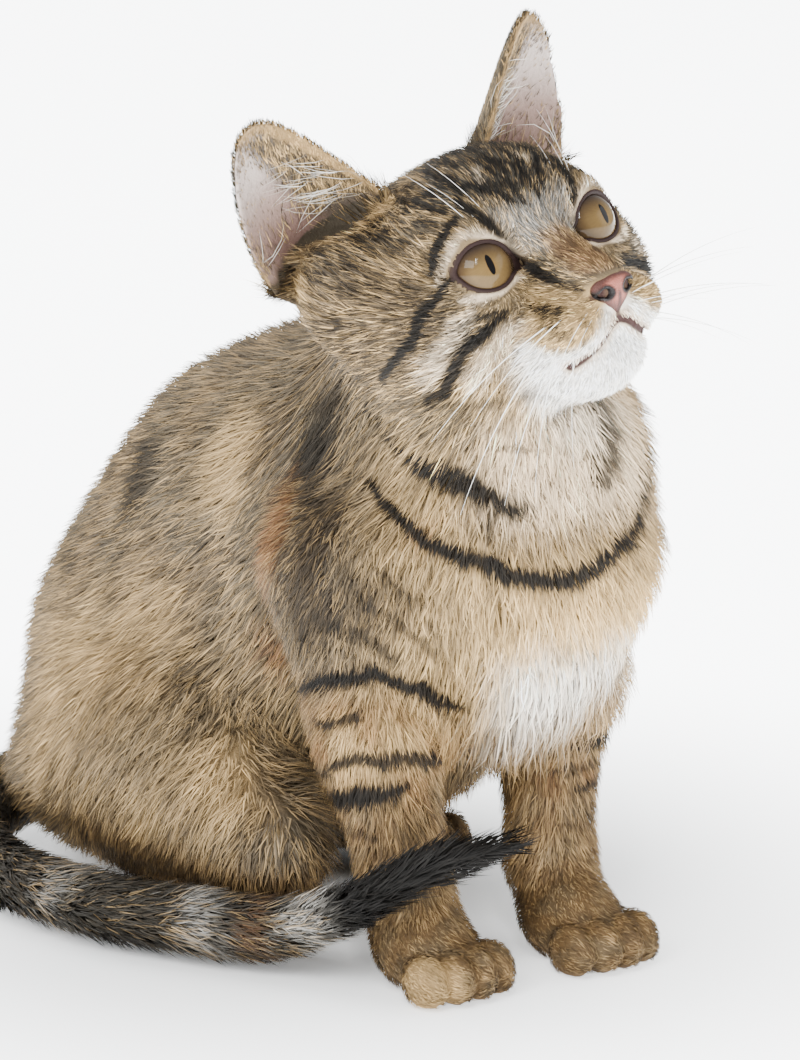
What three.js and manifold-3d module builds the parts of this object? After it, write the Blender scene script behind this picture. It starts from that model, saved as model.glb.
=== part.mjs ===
// A life-size seated tabby kitten, about fifteen weeks old, as a still museum model.
// It sits upright and faces -Y with +Z up, its left side towards +X, and looks up with the head tilted.
// The tail lies round the right haunch and lifts its tip in front of the right foreleg.
// All sizes are millimetres and include the coat, out to the tips of the hair.
//
// The flesh is one distance field, a smooth blend of eggs and tapered limbs. Each named part meshes
// the field on a grid of its own and is parted from its neighbours by thin flat cuts. The ears and
// the tail are closed sheets round a curve, and the eyes are balls behind the lids' openings.
import * as THREE from "three";
import { mergeVertices } from "three/addons/utils/BufferGeometryUtils.js";
import Module from "manifold-3d";

const wasm = await Module();
wasm.setup();

// ---------------------------------------------------------------- driving dimensions

const GAP = 0.3; // clearance between neighbouring parts
const BIG = 600; // side of the blocks that cut
const FARTHEST_SETTLED = 1.5; // the most that a vertex moves to lie on the surface

const LOOKS = {
  coat: { color: 0x8f7f68, roughness: 0.95 },
  black: { color: 0x39332e, roughness: 0.95 },
  eye: { color: 0xa8905c, roughness: 0.08 },
  nose: { color: 0xb0736a, roughness: 0.5 },
};

const HEAD = {
  centre: [2, -38, 170],
  yaw: 1, // degrees; positive turns the nose to the kitten's left
  lift: 20.4, // nose up
  tilt: 13.7, // left ear up
};

const EYE = {
  centre: [16.6, -16.8, 0.7], // left eyeball in the head's own frame
  radius: 10,
  outward: 11, // degrees that the gaze stands out to the side
  upward: 4,
  segments: 12,
  halfWidth: 7.6, // of the lids' opening
  halfHeight: 6.2,
  slant: 10, // degrees that the outer corner stands above the inner
};

const EAR = {
  // left ear in the head's own frame
  tip: [46.5, 3, 52.6],
  medialFoot: [17, 3, 27],
  lateralFoot: [47, 18, 13],
  fullness: 1.2, // how long the ear keeps its width on the way to the tip
  roundness: 0.5, // how blunt the tip is
  bow: 0.07, // how far the ear leans outwards half way up
  cup: 12, // depth of the hollow
  thickness: 4.2,
  clearance: 0.9, // to the skull, whose two meshings differ by a little
  sunk: 0.28, // share of its length that starts inside the skull
  sunkTaper: 1.3, // how fast that share narrows downwards
  last: 0.985, // the share at which the tip closes
  acrossSteps: 6,
  alongSteps: 9,
};

// The bare leather of the nose: a block that frames it, in the head's own frame.
const NOSE = { centre: [0, -45.5, -15.2], size: [11, 9, 7.5], slope: 12 };

const FORELEG = {
  right: { shoulder: [-25, -20, 98], elbow: [-27, -34, 60], wrist: [-27, -47, 20], paw: [-27, -55, 9] },
  left: { shoulder: [27, -22, 98], elbow: [25, -34, 60], wrist: [19, -43, 20], paw: [16, -56, 9] },
  radii: { shoulder: 25, elbow: 16, wrist: 11 },
  pawRadii: [13, 15, 10.5],
};

const HINDLEG = {
  right: { thigh: [-40, 40, 37], knee: [-40, -2, 26], foot: [-37, 24, 9] },
  left: { thigh: [32, 56, 42], knee: [32, 28, 42], foot: [28, 54, 9] },
  thighRadii: [26, 48, 37],
  kneeRadii: [18, 26, 21],
  footRadii: [12, 30, 10],
};

// Toes stand `reach` in front of the paw's edge, and the outer ones `arch` further back for each step.
const TOE = { count: 4, spacing: 6.6, radii: [5, 8, 7.6], reach: 1.5, arch: 2.2, drop: -2.2 };

// The tail's line, from the root at the rump to the tip, and its [share of the length, radius].
const TAIL = {
  line: [
    [-8, 108, 20],
    [-40, 114, 12],
    [-68, 92, 11],
    [-80, 60, 10.6],
    [-77, 22, 10.6],
    [-65, -6, 10.6],
    [-54, -26, 12],
    [-49, -43, 18],
    [-45, -57, 26],
    [-37, -64, 32],
    [-28, -67.5, 34.5],
    [-15, -70, 37],
  ],
  profile: [
    [0, 14],
    [0.2, 12],
    [0.4, 11],
    [0.72, 10.6],
    [0.83, 7.6],
    [0.93, 5.8],
    [1, 1.4],
  ],
  sides: 10,
  rings: 28,
  cuts: [0.24, 0.5, 0.76], // shares of the length where it is parted
};

// ---------------------------------------------------------------- the distance field

const degrees = (angle) => (angle * Math.PI) / 180;

// Blends two distances so that the surfaces run into each other over about `reach` millimetres.
function blend(a, b, reach) {
  const overlap = Math.max(reach - Math.abs(a - b), 0) / reach;
  return Math.min(a, b) - (overlap * overlap * reach) / 4;
}

// A solid egg: an ellipsoid with its own radii, turned about X by `pitch` and about Z by `turn` degrees.
function egg(centre, radii, pitch = 0, turn = 0) {
  const frame = new THREE.Matrix4()
    .makeRotationFromEuler(new THREE.Euler(degrees(pitch), 0, degrees(turn), "ZYX"))
    .invert().elements;
  const [cx, cy, cz] = centre;
  const [rx, ry, rz] = radii;
  return (x, y, z) => {
    const dx = x - cx;
    const dy = y - cy;
    const dz = z - cz;
    const u = frame[0] * dx + frame[4] * dy + frame[8] * dz;
    const v = frame[1] * dx + frame[5] * dy + frame[9] * dz;
    const w = frame[2] * dx + frame[6] * dy + frame[10] * dz;
    const near = Math.hypot(u / rx, v / ry, w / rz);
    const slope = Math.hypot(u / (rx * rx), v / (ry * ry), w / (rz * rz));
    return slope < 1e-9 ? -Math.min(rx, ry, rz) : (near * (near - 1)) / slope;
  };
}

// A tapered limb with round ends.
function limb(from, to, radiusFrom, radiusTo) {
  const axis = to.map((value, i) => value - from[i]);
  const length2 = axis.reduce((sum, value) => sum + value * value, 0);
  return (x, y, z) => {
    const dx = x - from[0];
    const dy = y - from[1];
    const dz = z - from[2];
    const share = Math.min(1, Math.max(0, (dx * axis[0] + dy * axis[1] + dz * axis[2]) / length2));
    const away = Math.hypot(dx - share * axis[0], dy - share * axis[1], dz - share * axis[2]);
    return away - radiusFrom - share * (radiusTo - radiusFrom);
  };
}

// Joins forms, each blended into the ones before it. A form is [distance, reach of its blend].
const joined = (forms) => (x, y, z) =>
  forms.slice(1).reduce((found, [form, reach]) => blend(found, form(x, y, z), reach), forms[0][0](x, y, z));

const mirrored = ([x, y, z]) => [-x, y, z];
const bothSides = (make) => [make((point) => point), make(mirrored)];

// The head in its own frame: nose towards -Y, the middle of the skull at the origin.
const skull = joined([
  [egg([0, 8, 2], [34, 35, 28]), 0],
  [egg([0, -8, 10], [25, 19, 18]), 10],
  ...bothSides((side) => [egg(side([22, -3, -11]), [18, 23, 20]), 12]),
  ...bothSides((side) => [egg(side([15.5, -18, 8]), [9.5, 8, 6.5]), 7]),
  ...bothSides((side) => [egg(side([15.5, -18, -7]), [11, 8.5, 6.5]), 6]),
  [limb([0, -20, 4], [0, -37, -10.5], 8, 5.8), 6],
  [egg([0, -27, -18], [15, 14, 11]), 9],
  ...bothSides((side) => [egg(side([8, -33.5, -20]), [9.8, 9.5, 7.8]), 4]),
  [egg([0, -40.3, -13.6], [5.5, 4.2, 4.6]), 3],
  [egg([0, -27.5, -29], [12, 10, 8]), 5],
  ...bothSides((side) => [limb(side([22, 2, -24]), side([4, -24, -27]), 12, 9), 8]),
  ...bothSides((side) => [egg(side([34, 13, 8]), [10, 12, 14]), 12]),
]);

const headFrame = new THREE.Matrix4()
  .makeRotationFromEuler(new THREE.Euler(-degrees(HEAD.lift), -degrees(HEAD.tilt), degrees(HEAD.yaw), "ZXY"))
  .setPosition(...HEAD.centre);
const fromHead = (point) => new THREE.Vector3(...point).applyMatrix4(headFrame).toArray();
const turnedWithHead = (direction) => new THREE.Vector3(...direction).transformDirection(headFrame).toArray();
const intoHead = headFrame.clone().invert().elements;

function headDistance(x, y, z) {
  const m = intoHead;
  return skull(
    m[0] * x + m[4] * y + m[8] * z + m[12],
    m[1] * x + m[5] * y + m[9] * z + m[13],
    m[2] * x + m[6] * y + m[10] * z + m[14],
  );
}

// Four toes that fan from the front of a paw.
function paw(centre, radii) {
  const toes = Array.from({ length: TOE.count }, (_, i) => {
    const across = i - (TOE.count - 1) / 2;
    const place = [
      centre[0] + across * TOE.spacing,
      centre[1] - radii[1] - TOE.reach + Math.abs(across) * TOE.arch,
      centre[2] + TOE.drop - 0.5 * Math.abs(across),
    ];
    return [egg(place, TOE.radii), 2];
  });
  return joined([[egg(centre, radii), 0], ...toes]);
}

function foreleg(pose) {
  const { radii, pawRadii } = FORELEG;
  return joined([
    [limb(pose.shoulder, pose.elbow, radii.shoulder, radii.elbow), 0],
    [limb(pose.elbow, pose.wrist, radii.elbow, radii.wrist), 10],
    [limb(pose.wrist, pose.paw, radii.wrist, radii.wrist - 1), 8],
    [paw(pose.paw, pawRadii), 5],
  ]);
}

function hindleg(pose) {
  return joined([
    [egg(pose.thigh, HINDLEG.thighRadii, 8), 0],
    [egg(pose.knee, HINDLEG.kneeRadii), 14],
    [paw(pose.foot, HINDLEG.footRadii), 6],
  ]);
}

const flesh = joined([
  [egg([7, -38, 102], [43, 41, 45], 12, 12), 0],
  [egg([0, 8, 112], [39, 42, 43]), 20],
  [egg([-4, 44, 89], [46, 51, 55], 30), 22],
  [egg([-7, 68, 52], [52, 55, 54]), 22],
  [egg([0, 20, 66], [36, 44, 36]), 18],
  [egg([-9, 74, 26], [56, 44, 30]), 14],
  [egg([10, -40, 131], [34, 31, 26]), 14],
  [limb([3, -8, 122], fromHead([0, 14, -8]), 33, 31), 16],
  [headDistance, 9],
  [foreleg(FORELEG.right), 12],
  [foreleg(FORELEG.left), 12],
  [hindleg(HINDLEG.right), 14],
  [hindleg(HINDLEG.left), 14],
]);

// ---------------------------------------------------------------- meshing the field

const CORNERS = Array.from({ length: 8 }, (_, n) => [n & 1, (n >> 1) & 1, n >> 2]);
// The twelve edges of a cell, as pairs of its corners.
const EDGES = [1, 2, 4].flatMap((step) => CORNERS.map((_, n) => [n, n + step]).filter(([n]) => !(n & step)));
// The four cells round an edge, as steps back along the two other axes.
const AROUND_EDGE = CORNERS.slice(0, 4).map(([a, b]) => (b ? [1 - a, 1] : [a, 0]));

// The coordinates of a grid's planes along one axis, where `cellAt` gives the cell's size at a place.
function planesAlong(low, high, cellAt) {
  const planes = [low];
  while (planes.at(-1) < high) planes.push(planes.at(-1) + cellAt(planes.at(-1)));
  return planes;
}

const evenGrid = (low, high, cell) => low.map((value, axis) => planesAlong(value, high[axis], () => cell));

// The field at each crossing of the planes; it is held above zero at the rim, which closes the surface.
function sampled(distance, planes) {
  const sizes = planes.map((list) => list.length);
  const indexOf = ([i, j, k]) => (k * sizes[1] + j) * sizes[0] + i;
  const pointAt = (cell) => cell.map((n, axis) => planes[axis][n]);
  const values = new Float64Array(sizes[0] * sizes[1] * sizes[2]);
  forEachCell(sizes, (at) => {
    const onRim = at.some((n, axis) => n === 0 || n === sizes[axis] - 1);
    values[indexOf(at)] = Math.max(distance(...pointAt(at)), onRim ? 1 : -Infinity);
  });
  return { sizes, indexOf, pointAt, values };
}

function forEachCell([nx, ny, nz], visit) {
  for (let k = 0; k < nz; k++) for (let j = 0; j < ny; j++) for (let i = 0; i < nx; i++) visit([i, j, k]);
}

// Which of a cell's inside corners hang together, as the lowest corner of each group.
function insideGroups(inside) {
  const group = CORNERS.map((_, n) => n);
  for (let pass = 0; pass < 3; pass++)
    for (const [a, b] of EDGES)
      if (inside[a] && inside[b]) group[a] = group[b] = Math.min(group[a], group[b]);
  return group;
}

// Where the surface crosses a cell's edge.
function crossing(values, points, [a, b]) {
  const share = values[a] / (values[a] - values[b]);
  return points[a].map((value, n) => value + share * (points[b][n] - value));
}

const meanOf = (points) => points[0].map((_, n) => points.reduce((sum, point) => sum + point[n], 0) / points.length);

// Moves a point the last bit onto the surface, along the field's slope.
function settled(distance, point) {
  const here = distance(...point);
  if (Math.abs(here) > FARTHEST_SETTLED) return point;
  const slope = point.map((_, axis) => distance(...point.map((v, n) => v + (n === axis ? 0.1 : 0))) - here);
  return new THREE.Vector3(...point).addScaledVector(new THREE.Vector3(...slope).normalize(), -here).toArray();
}

// A vertex for each sheet of the surface in a cell, remembered for each inside corner it serves.
function sheetVertices(distance, grid) {
  const vertices = [];
  const vertexAt = new Map();
  forEachCell(
    grid.sizes.map((n) => n - 1),
    (cell) => {
      const corners = CORNERS.map((corner) => corner.map((step, n) => cell[n] + step));
      const values = corners.map((corner) => grid.values[grid.indexOf(corner)]);
      const inside = values.map((value) => value < 0);
      const crossed = EDGES.filter(([a, b]) => inside[a] !== inside[b]);
      if (!crossed.length) return;
      const points = corners.map(grid.pointAt);
      const groups = insideGroups(inside);
      for (const group of new Set(groups.filter((_, n) => inside[n]))) {
        const own = crossed.filter(([a, b]) => groups[inside[a] ? a : b] === group);
        groups.forEach((found, n) => {
          if (inside[n] && found === group) vertexAt.set(grid.indexOf(cell) * 8 + n, vertices.length / 3);
        });
        vertices.push(...settled(distance, meanOf(own.map((edge) => crossing(values, points, edge)))));
      }
    },
  );
  return { vertices, vertexAt };
}

// The vertex that serves the inside corner `point` in `cell`.
function servingVertex(grid, vertexAt, cell, point) {
  const corner = point.reduce((bits, value, n) => bits + ((value - cell[n]) << n), 0);
  return vertexAt.get(grid.indexOf(cell) * 8 + corner);
}

// The quad round the edge from `at` along `axis`, if the surface crosses it.
function quadRound(grid, vertexAt, at, axis) {
  const [next, last] = [(axis + 1) % 3, (axis + 2) % 3];
  const far = at.map((value, n) => value + (n === axis ? 1 : 0));
  if (!at[next] || !at[last] || far[axis] >= grid.sizes[axis]) return [];
  const [startsInside, endsInside] = [at, far].map((point) => grid.values[grid.indexOf(point)] < 0);
  if (startsInside === endsInside) return [];
  const [a, b, c, d] = AROUND_EDGE.map(([first, second]) => {
    const cell = at.map((value, n) => value - (n === next ? first : 0) - (n === last ? second : 0));
    return servingVertex(grid, vertexAt, cell, startsInside ? at : far);
  });
  return startsInside ? [a, b, c, a, c, d] : [a, c, b, a, d, c];
}

const manifoldOf = (vertices, triangles) =>
  new wasm.Manifold(
    new wasm.Mesh({
      numProp: 3,
      vertProperties: new Float32Array(vertices),
      triVerts: new Uint32Array(triangles),
    }),
  );

// Surface nets: the solid where the field is below zero, meshed on the grid between the planes.
function solidIn(distance, planes) {
  const grid = sampled(distance, planes);
  const { vertices, vertexAt } = sheetVertices(distance, grid);
  const triangles = [];
  forEachCell(
    grid.sizes.map((n) => n - 1),
    (at) => [0, 1, 2].forEach((axis) => triangles.push(...quadRound(grid, vertexAt, at, axis))),
  );
  return manifoldOf(vertices, triangles);
}

// ---------------------------------------------------------------- solids and cuts

// A closed three.js geometry as a solid.
function solidOf(geometry) {
  const bare = new THREE.BufferGeometry()
    .setAttribute("position", geometry.getAttribute("position"))
    .setIndex(geometry.index);
  const merged = mergeVertices(bare, 1e-3);
  return manifoldOf(merged.attributes.position.array, merged.index.array);
}

const largest = (solid) => solid.decompose().sort((a, b) => b.volume() - a.volume())[0];

// Everything on the side of a plane that `normal` points to, from `clearance` past it.
function halfSpace(point, normal, clearance = GAP / 2) {
  const facing = new THREE.Vector3(...normal).normalize();
  const block = new THREE.BoxGeometry(BIG, BIG, BIG)
    .translate(0, 0, BIG / 2 + clearance)
    .applyQuaternion(new THREE.Quaternion().setFromUnitVectors(new THREE.Vector3(0, 0, 1), facing))
    .translate(...point);
  return solidOf(block);
}

// A convex region between planes [point, normal], shrunk by `clearance`, or grown where it is negative.
const region = (planes, clearance = GAP / 2) =>
  planes.map(([point, normal]) => halfSpace(point, normal, clearance)).reduce((a, b) => a.intersect(b));

const without = (solid, others) => others.reduce((left, other) => left.subtract(other), solid);
const flip = ([point, normal]) => [point, normal.map((value) => -value)];
const floor = halfSpace([0, 0, 0], [0, 0, 1], 0);

// One part of the flesh: meshed in its own box, kept between its planes and above the floor.
function fleshPart(low, high, cell, planes, away = []) {
  const whole = solidIn(flesh, evenGrid(low, high, cell)).intersect(floor).intersect(region(planes));
  return largest(without(whole, away));
}

const solids = new Map();
const looks = new Map();
function add(name, solid, look = "coat") {
  solids.set(name, solid);
  looks.set(name, look);
}

const SIDES = [
  { name: "right", out: -1, place: mirrored },
  { name: "left", out: 1, place: (point) => point },
];

// ---------------------------------------------------------------- head, eyes, nose and ears

// The plane between head and neck; it faces the head.
const headCut = [fromHead([0, 30, -20]), turnedWithHead([0, -0.45, 0.89])];

// The head's own grid is fine over the face and coarse over the cranium.
const FACE_CELL = 4.4;
const SKULL_CELL = 10;
function headGrid() {
  const half = planesAlong(0, 62, (x) => (x < 24 ? FACE_CELL : SKULL_CELL));
  return [
    [...half.slice(1).map((x) => -x).reverse(), ...half],
    planesAlong(-54, 56, (y) => (y < -18 ? FACE_CELL : SKULL_CELL)),
    planesAlong(-66, 44, (z) => (z < -34 || z > 12 ? SKULL_CELL : FACE_CELL)),
  ];
}
const inHeadFrame = (distance) => (x, y, z) => distance(...fromHead([x, y, z]));
const headSolid = (grown) =>
  solidIn(inHeadFrame((x, y, z) => flesh(x, y, z) - grown), headGrid()).transform(headFrame.elements);

// The frame of an eye: its own -Y looks out along the gaze.
function eyeFrame(out) {
  const turn = new THREE.Euler(-degrees(EYE.upward), 0, degrees(out * EYE.outward), "ZXY");
  return new THREE.Matrix4()
    .makeRotationFromEuler(turn)
    .setPosition(out * EYE.centre[0], EYE.centre[1], EYE.centre[2])
    .premultiply(headFrame);
}

const eyeball = (out, radius) =>
  solidOf(new THREE.SphereGeometry(radius, EYE.segments, EYE.segments * 0.7).applyMatrix4(eyeFrame(out)));

const lidOpening = (out) =>
  solidOf(
    new THREE.SphereGeometry(1, EYE.segments, EYE.segments * 0.7)
      .scale(EYE.halfWidth, EYE.radius, EYE.halfHeight)
      .rotateY(-out * degrees(EYE.slant))
      .translate(0, -EYE.radius - 1, 0)
      .applyMatrix4(eyeFrame(out)),
  );

const noseBlock = (grown) =>
  solidOf(
    new THREE.BoxGeometry(...NOSE.size.map((value) => value + 2 * grown))
      .rotateX(degrees(NOSE.slope))
      .translate(...NOSE.centre)
      .applyMatrix4(headFrame),
  );

// One face of the ear's sheet at share `v` of its length: a row of points from edge to edge.
function earRow(v, face, { foot, axis, across, opening }) {
  const rise = Math.max(v, 0);
  const width = v <= 0 ? 1 + EAR.sunkTaper * v : (1 - v ** EAR.fullness) ** EAR.roundness;
  const lean = EAR.bow * rise * (1 - v) * 4;
  return Array.from({ length: EAR.acrossSteps + 1 }, (_, i) => {
    const u = (2 * i) / EAR.acrossSteps - 1;
    const hollow = EAR.cup * (1 - rise) ** 0.7 * (1 - u * u);
    const half = 0.5 * EAR.thickness * (1 - 0.45 * rise) * (0.45 + 0.55 * Math.sqrt(1 - u * u));
    return foot
      .clone()
      .addScaledVector(axis, v)
      .addScaledVector(across, u * width + lean)
      .addScaledVector(opening, face * half - hollow)
      .toArray();
  });
}

// The triangles of a closed shell between two sheets of rows x columns vertices, one after the other.
function shellTriangles(rows, columns) {
  const back = rows * columns;
  const at = (row, column) => row * columns + column;
  const rim = [];
  for (let c = 0; c < columns - 1; c++) rim.push(at(0, c));
  for (let r = 0; r < rows - 1; r++) rim.push(at(r, columns - 1));
  for (let c = columns - 1; c > 0; c--) rim.push(at(rows - 1, c));
  for (let r = rows - 1; r > 0; r--) rim.push(at(r, 0));
  const quad = (a, b, c, d) => [a, b, c, a, c, d];
  const faces = [];
  for (let r = 0; r < rows - 1; r++)
    for (let c = 0; c < columns - 1; c++) {
      const [a, b, d, e] = [at(r, c), at(r, c + 1), at(r + 1, c + 1), at(r + 1, c)];
      faces.push(...quad(a, b, d, e), ...quad(back + a, back + e, back + d, back + b));
    }
  rim.forEach((here, n) => {
    const next = rim[(n + 1) % rim.length];
    faces.push(...quad(here, back + here, back + next, next));
  });
  return faces;
}

function ear(place) {
  const [medial, lateral, tip] = [EAR.medialFoot, EAR.lateralFoot, EAR.tip].map((point) => new THREE.Vector3(...point));
  const foot = medial.clone().add(lateral).multiplyScalar(0.5);
  const axis = tip.clone().sub(foot);
  const across = lateral.clone().sub(medial).multiplyScalar(0.5);
  const opening = new THREE.Vector3().crossVectors(across, axis).normalize();
  const shape = { foot, axis, across, opening };
  const shares = Array.from(
    { length: EAR.alongSteps + 1 },
    (_, j) => -EAR.sunk + ((EAR.last + EAR.sunk) * j) / EAR.alongSteps,
  );
  const points = [1, -1].flatMap((face) => shares.flatMap((v) => earRow(v, face, shape)));
  const faces = shellTriangles(shares.length, EAR.acrossSteps + 1);
  const geometry = new THREE.BufferGeometry();
  geometry.setAttribute("position", new THREE.Float32BufferAttribute(points.flatMap(place), 3));
  geometry.setIndex(place === mirrored ? faces.reverse() : faces);
  return solidOf(geometry.applyMatrix4(headFrame));
}

const headWhole = headSolid(0).intersect(region([headCut]));
const sockets = SIDES.flatMap(({ out }) => [eyeball(out, EYE.radius + GAP), lidOpening(out)]);
add("head", largest(without(headWhole, [...sockets, noseBlock(GAP)])));
add("nose", largest(headWhole.intersect(noseBlock(0))), "nose");
const underEars = [headSolid(EAR.clearance), headSolid(0)];
for (const { name, out, place } of SIDES) {
  add(`eye_${name}`, eyeball(out, EYE.radius), "eye");
  add(`ear_${name}`, largest(without(ear(place), underEars)));
}

// ---------------------------------------------------------------- legs

const neckCut = [[4, -10, 119], [-0.04, -0.35, 0.93]]; // faces the neck

const legCut = [[0, -28, 25], [0, -0.86, 0.51]]; // between forelegs and haunches; it faces the forelegs

// The planes round a foreleg: the inner side, the slanting top and the back.
const forelegPlanes = (out) => [
  [[out * 7, 0, 40], [out, 0, -0.1]],
  [[out * 26, -20, 86], [-out * 0.3, 0.1, -0.94]],
  legCut,
];
const elbowCut = (pose) => [pose.elbow, [0, 0.1, 1]];
const wristCut = (pose) => [[pose.wrist[0], pose.wrist[1], 22], [0, 0.4, 0.9]];

// The planes round a haunch and round the foot below it.
const haunchPlanes = (out) => [
  [[out * 16, 0, 40], [out * 0.97, 0, 0.24]],
  [[0, 96, 40], [0, -0.9, -0.43]],
  [[out * 30, 0, 82], [-out * 0.2, -0.1, -0.97]],
  flip(legCut),
];
const ankleCut = [[0, 0, 18], [0, 0, 1]];
const footPlanes = (pose, out) => [
  flip(ankleCut),
  [[pose.foot[0] - out * 15, 0, 0], [out, 0, 0]],
  [[0, pose.foot[1] + 32, 0], [0, -1, 0]],
];

const boxRound = (centre, reach) => [centre.map((v, i) => v - reach[i]), centre.map((v, i) => v + reach[i])];

// The tail as a tube of rings on its curve, closed by a point at each end.
const tailCurve = new THREE.CatmullRomCurve3(
  TAIL.line.map((point) => new THREE.Vector3(...point)),
  false,
  "centripetal",
);

function tailRadius(share) {
  const next = TAIL.profile.findIndex(([end]) => end >= share);
  if (next <= 0) return TAIL.profile[0][1];
  const [[from, radiusFrom], [to, radiusTo]] = TAIL.profile.slice(next - 1, next + 1);
  return THREE.MathUtils.lerp(radiusFrom, radiusTo, (share - from) / (to - from));
}

function tailTube(grown) {
  const { sides, rings } = TAIL;
  const frames = tailCurve.computeFrenetFrames(rings, false);
  const points = [];
  for (let ring = 0; ring <= rings; ring++) {
    const radius = tailRadius(ring / rings) + grown;
    const centre = tailCurve.getPointAt(ring / rings);
    for (let side = 0; side < sides; side++) {
      const angle = (2 * Math.PI * side) / sides;
      const point = centre
        .clone()
        .addScaledVector(frames.normals[ring], radius * Math.cos(angle))
        .addScaledVector(frames.binormals[ring], radius * Math.sin(angle));
      points.push(...point.toArray());
    }
  }
  const [start, end] = [points.length / 3, points.length / 3 + 1];
  points.push(...tailCurve.getPointAt(0).toArray(), ...tailCurve.getPointAt(1).toArray());
  const faces = [];
  for (let side = 0; side < sides; side++) {
    const next = (side + 1) % sides;
    faces.push(start, next, side, end, rings * sides + side, rings * sides + next);
    for (let ring = 0; ring < rings; ring++) {
      const [a, b] = [ring * sides + side, ring * sides + next];
      faces.push(a, b, b + sides, a, b + sides, a + sides);
    }
  }
  return manifoldOf(points, faces);
}

const tailGrown = tailTube(GAP);
const taken = [tailGrown]; // what the parts that follow stay clear of

for (const { name, out } of SIDES) {
  const pose = FORELEG[name];
  const planes = forelegPlanes(out);
  const [x] = pose.elbow;
  add(
    `upper_foreleg_${name}`,
    fleshPart([x - 44, -90, 46], [x + 44, 20, 118], 10, [...planes, elbowCut(pose)], taken),
  );
  add(
    `forearm_${name}`,
    fleshPart([x - 30, -80, 8], [x + 30, 16, 68], 7.4, [...planes, flip(elbowCut(pose)), wristCut(pose)], taken),
  );
  add(
    `forepaw_${name}`,
    fleshPart(...boxRound(pose.paw, [20, 30, 24]), 4.8, [...planes, flip(wristCut(pose))], taken),
  );
}
taken.push(...SIDES.map(({ out }) => region(forelegPlanes(out), -GAP / 2)));

for (const { name, out } of SIDES) {
  const pose = HINDLEG[name];
  const [foot, haunch] = [footPlanes(pose, out), haunchPlanes(out)];
  add(`hind_foot_${name}`, fleshPart(...boxRound(pose.foot, [21, 48, 18]), 6, foot, taken));
  taken.push(region(foot, -GAP / 2));
  add(`haunch_${name}`, fleshPart([-80, -40, -6], [75, 120, 96], 11, haunch, taken));
  taken.push(region(haunch, -GAP / 2));
}

// ---------------------------------------------------------------- neck, trunk and tail

const chestCut = [[0, 30, 80], [0, -0.97, 0.24]]; // faces the chest

add("neck", fleshPart([-60, -95, 80], [68, 52, 190], 10.5, [flip(headCut), neckCut]));
add("chest", fleshPart([-62, -95, 20], [68, 50, 170], 12, [flip(neckCut), chestCut], taken));
add("loins_and_rump", fleshPart([-85, 10, -8], [68, 135, 165], 12, [flip(chestCut), flip(neckCut)], taken));

// The tail's lengths, parted across its line, with the root cut back to the rump.
const tailCuts = TAIL.cuts.map((share) => [
  tailCurve.getPointAt(share).toArray(),
  tailCurve.getTangentAt(share).toArray(),
]);
const tailWhole = tailTube(0).intersect(floor);
["tail_root", "tail_middle", "tail_end", "tail_tip"].forEach((name, i) => {
  const planes = [tailCuts[i - 1], tailCuts[i] && flip(tailCuts[i])].filter(Boolean);
  add(name, largest(tailWhole.intersect(region(planes))), "black");
});

// ---------------------------------------------------------------- the model

function meshOf(solid, name, look) {
  const { vertProperties, triVerts } = solid.getMesh();
  const geometry = new THREE.BufferGeometry()
    .setAttribute("position", new THREE.BufferAttribute(new Float32Array(vertProperties), 3))
    .setIndex(new THREE.BufferAttribute(new Uint32Array(triVerts), 1));
  geometry.computeVertexNormals();
  const mesh = new THREE.Mesh(geometry, new THREE.MeshStandardMaterial({ ...LOOKS[look], metalness: 0 }));
  mesh.name = name;
  return mesh;
}

const kitten = new THREE.Group();
solids.forEach((solid, name) => kitten.add(meshOf(solid, name, looks.get(name))));
const middle = new THREE.Box3().setFromObject(kitten).getCenter(new THREE.Vector3());
kitten.position.set(-middle.x, -middle.y, 0);

export default kitten;
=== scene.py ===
"""A life-size seated tabby kitten, about fifteen weeks old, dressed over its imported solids.

The kitten sits upright and faces -Y with +Z up, its left side towards +X, and looks up with the
head tilted. One skin stands for all the flesh. It is the solids' own distance field, drawn in by
the depth of the coat, and the coat's tufts stand on it out to the solids' surface.
Lengths in the shape tables are millimetres in the kitten's own frame, whose origin lies on the
floor between the forelegs and the haunches; every mesh is built in metres in the frame's place.
"""

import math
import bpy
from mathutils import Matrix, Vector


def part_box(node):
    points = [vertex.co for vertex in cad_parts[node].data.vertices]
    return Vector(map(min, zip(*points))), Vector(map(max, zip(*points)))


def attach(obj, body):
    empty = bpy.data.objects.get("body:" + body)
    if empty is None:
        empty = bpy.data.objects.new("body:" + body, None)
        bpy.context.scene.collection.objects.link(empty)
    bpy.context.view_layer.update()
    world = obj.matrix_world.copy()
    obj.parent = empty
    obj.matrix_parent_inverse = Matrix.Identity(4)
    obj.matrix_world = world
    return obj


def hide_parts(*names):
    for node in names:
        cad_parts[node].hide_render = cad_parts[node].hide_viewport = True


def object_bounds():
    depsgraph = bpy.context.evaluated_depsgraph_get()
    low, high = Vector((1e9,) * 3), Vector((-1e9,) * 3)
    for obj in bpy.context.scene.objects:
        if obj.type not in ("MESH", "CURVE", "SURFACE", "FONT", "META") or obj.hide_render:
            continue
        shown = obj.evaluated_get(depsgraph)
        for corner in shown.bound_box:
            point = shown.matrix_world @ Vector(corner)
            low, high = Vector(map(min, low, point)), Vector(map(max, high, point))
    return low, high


bl_info = {
    "name": "Seated tabby kitten",
    "version": (1, 0, 0),
    "blender": (4, 5, 0),
    "location": "View3D > Sidebar > Kitten",
    "description": "Dresses the packed solids of a seated kitten with skin, coat, eyes and whiskers",
    "category": "Object",
}

from types import SimpleNamespace

import bmesh
import bpy
import numpy as np
import openvdb
from mathutils import Matrix, Vector, kdtree

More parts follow.
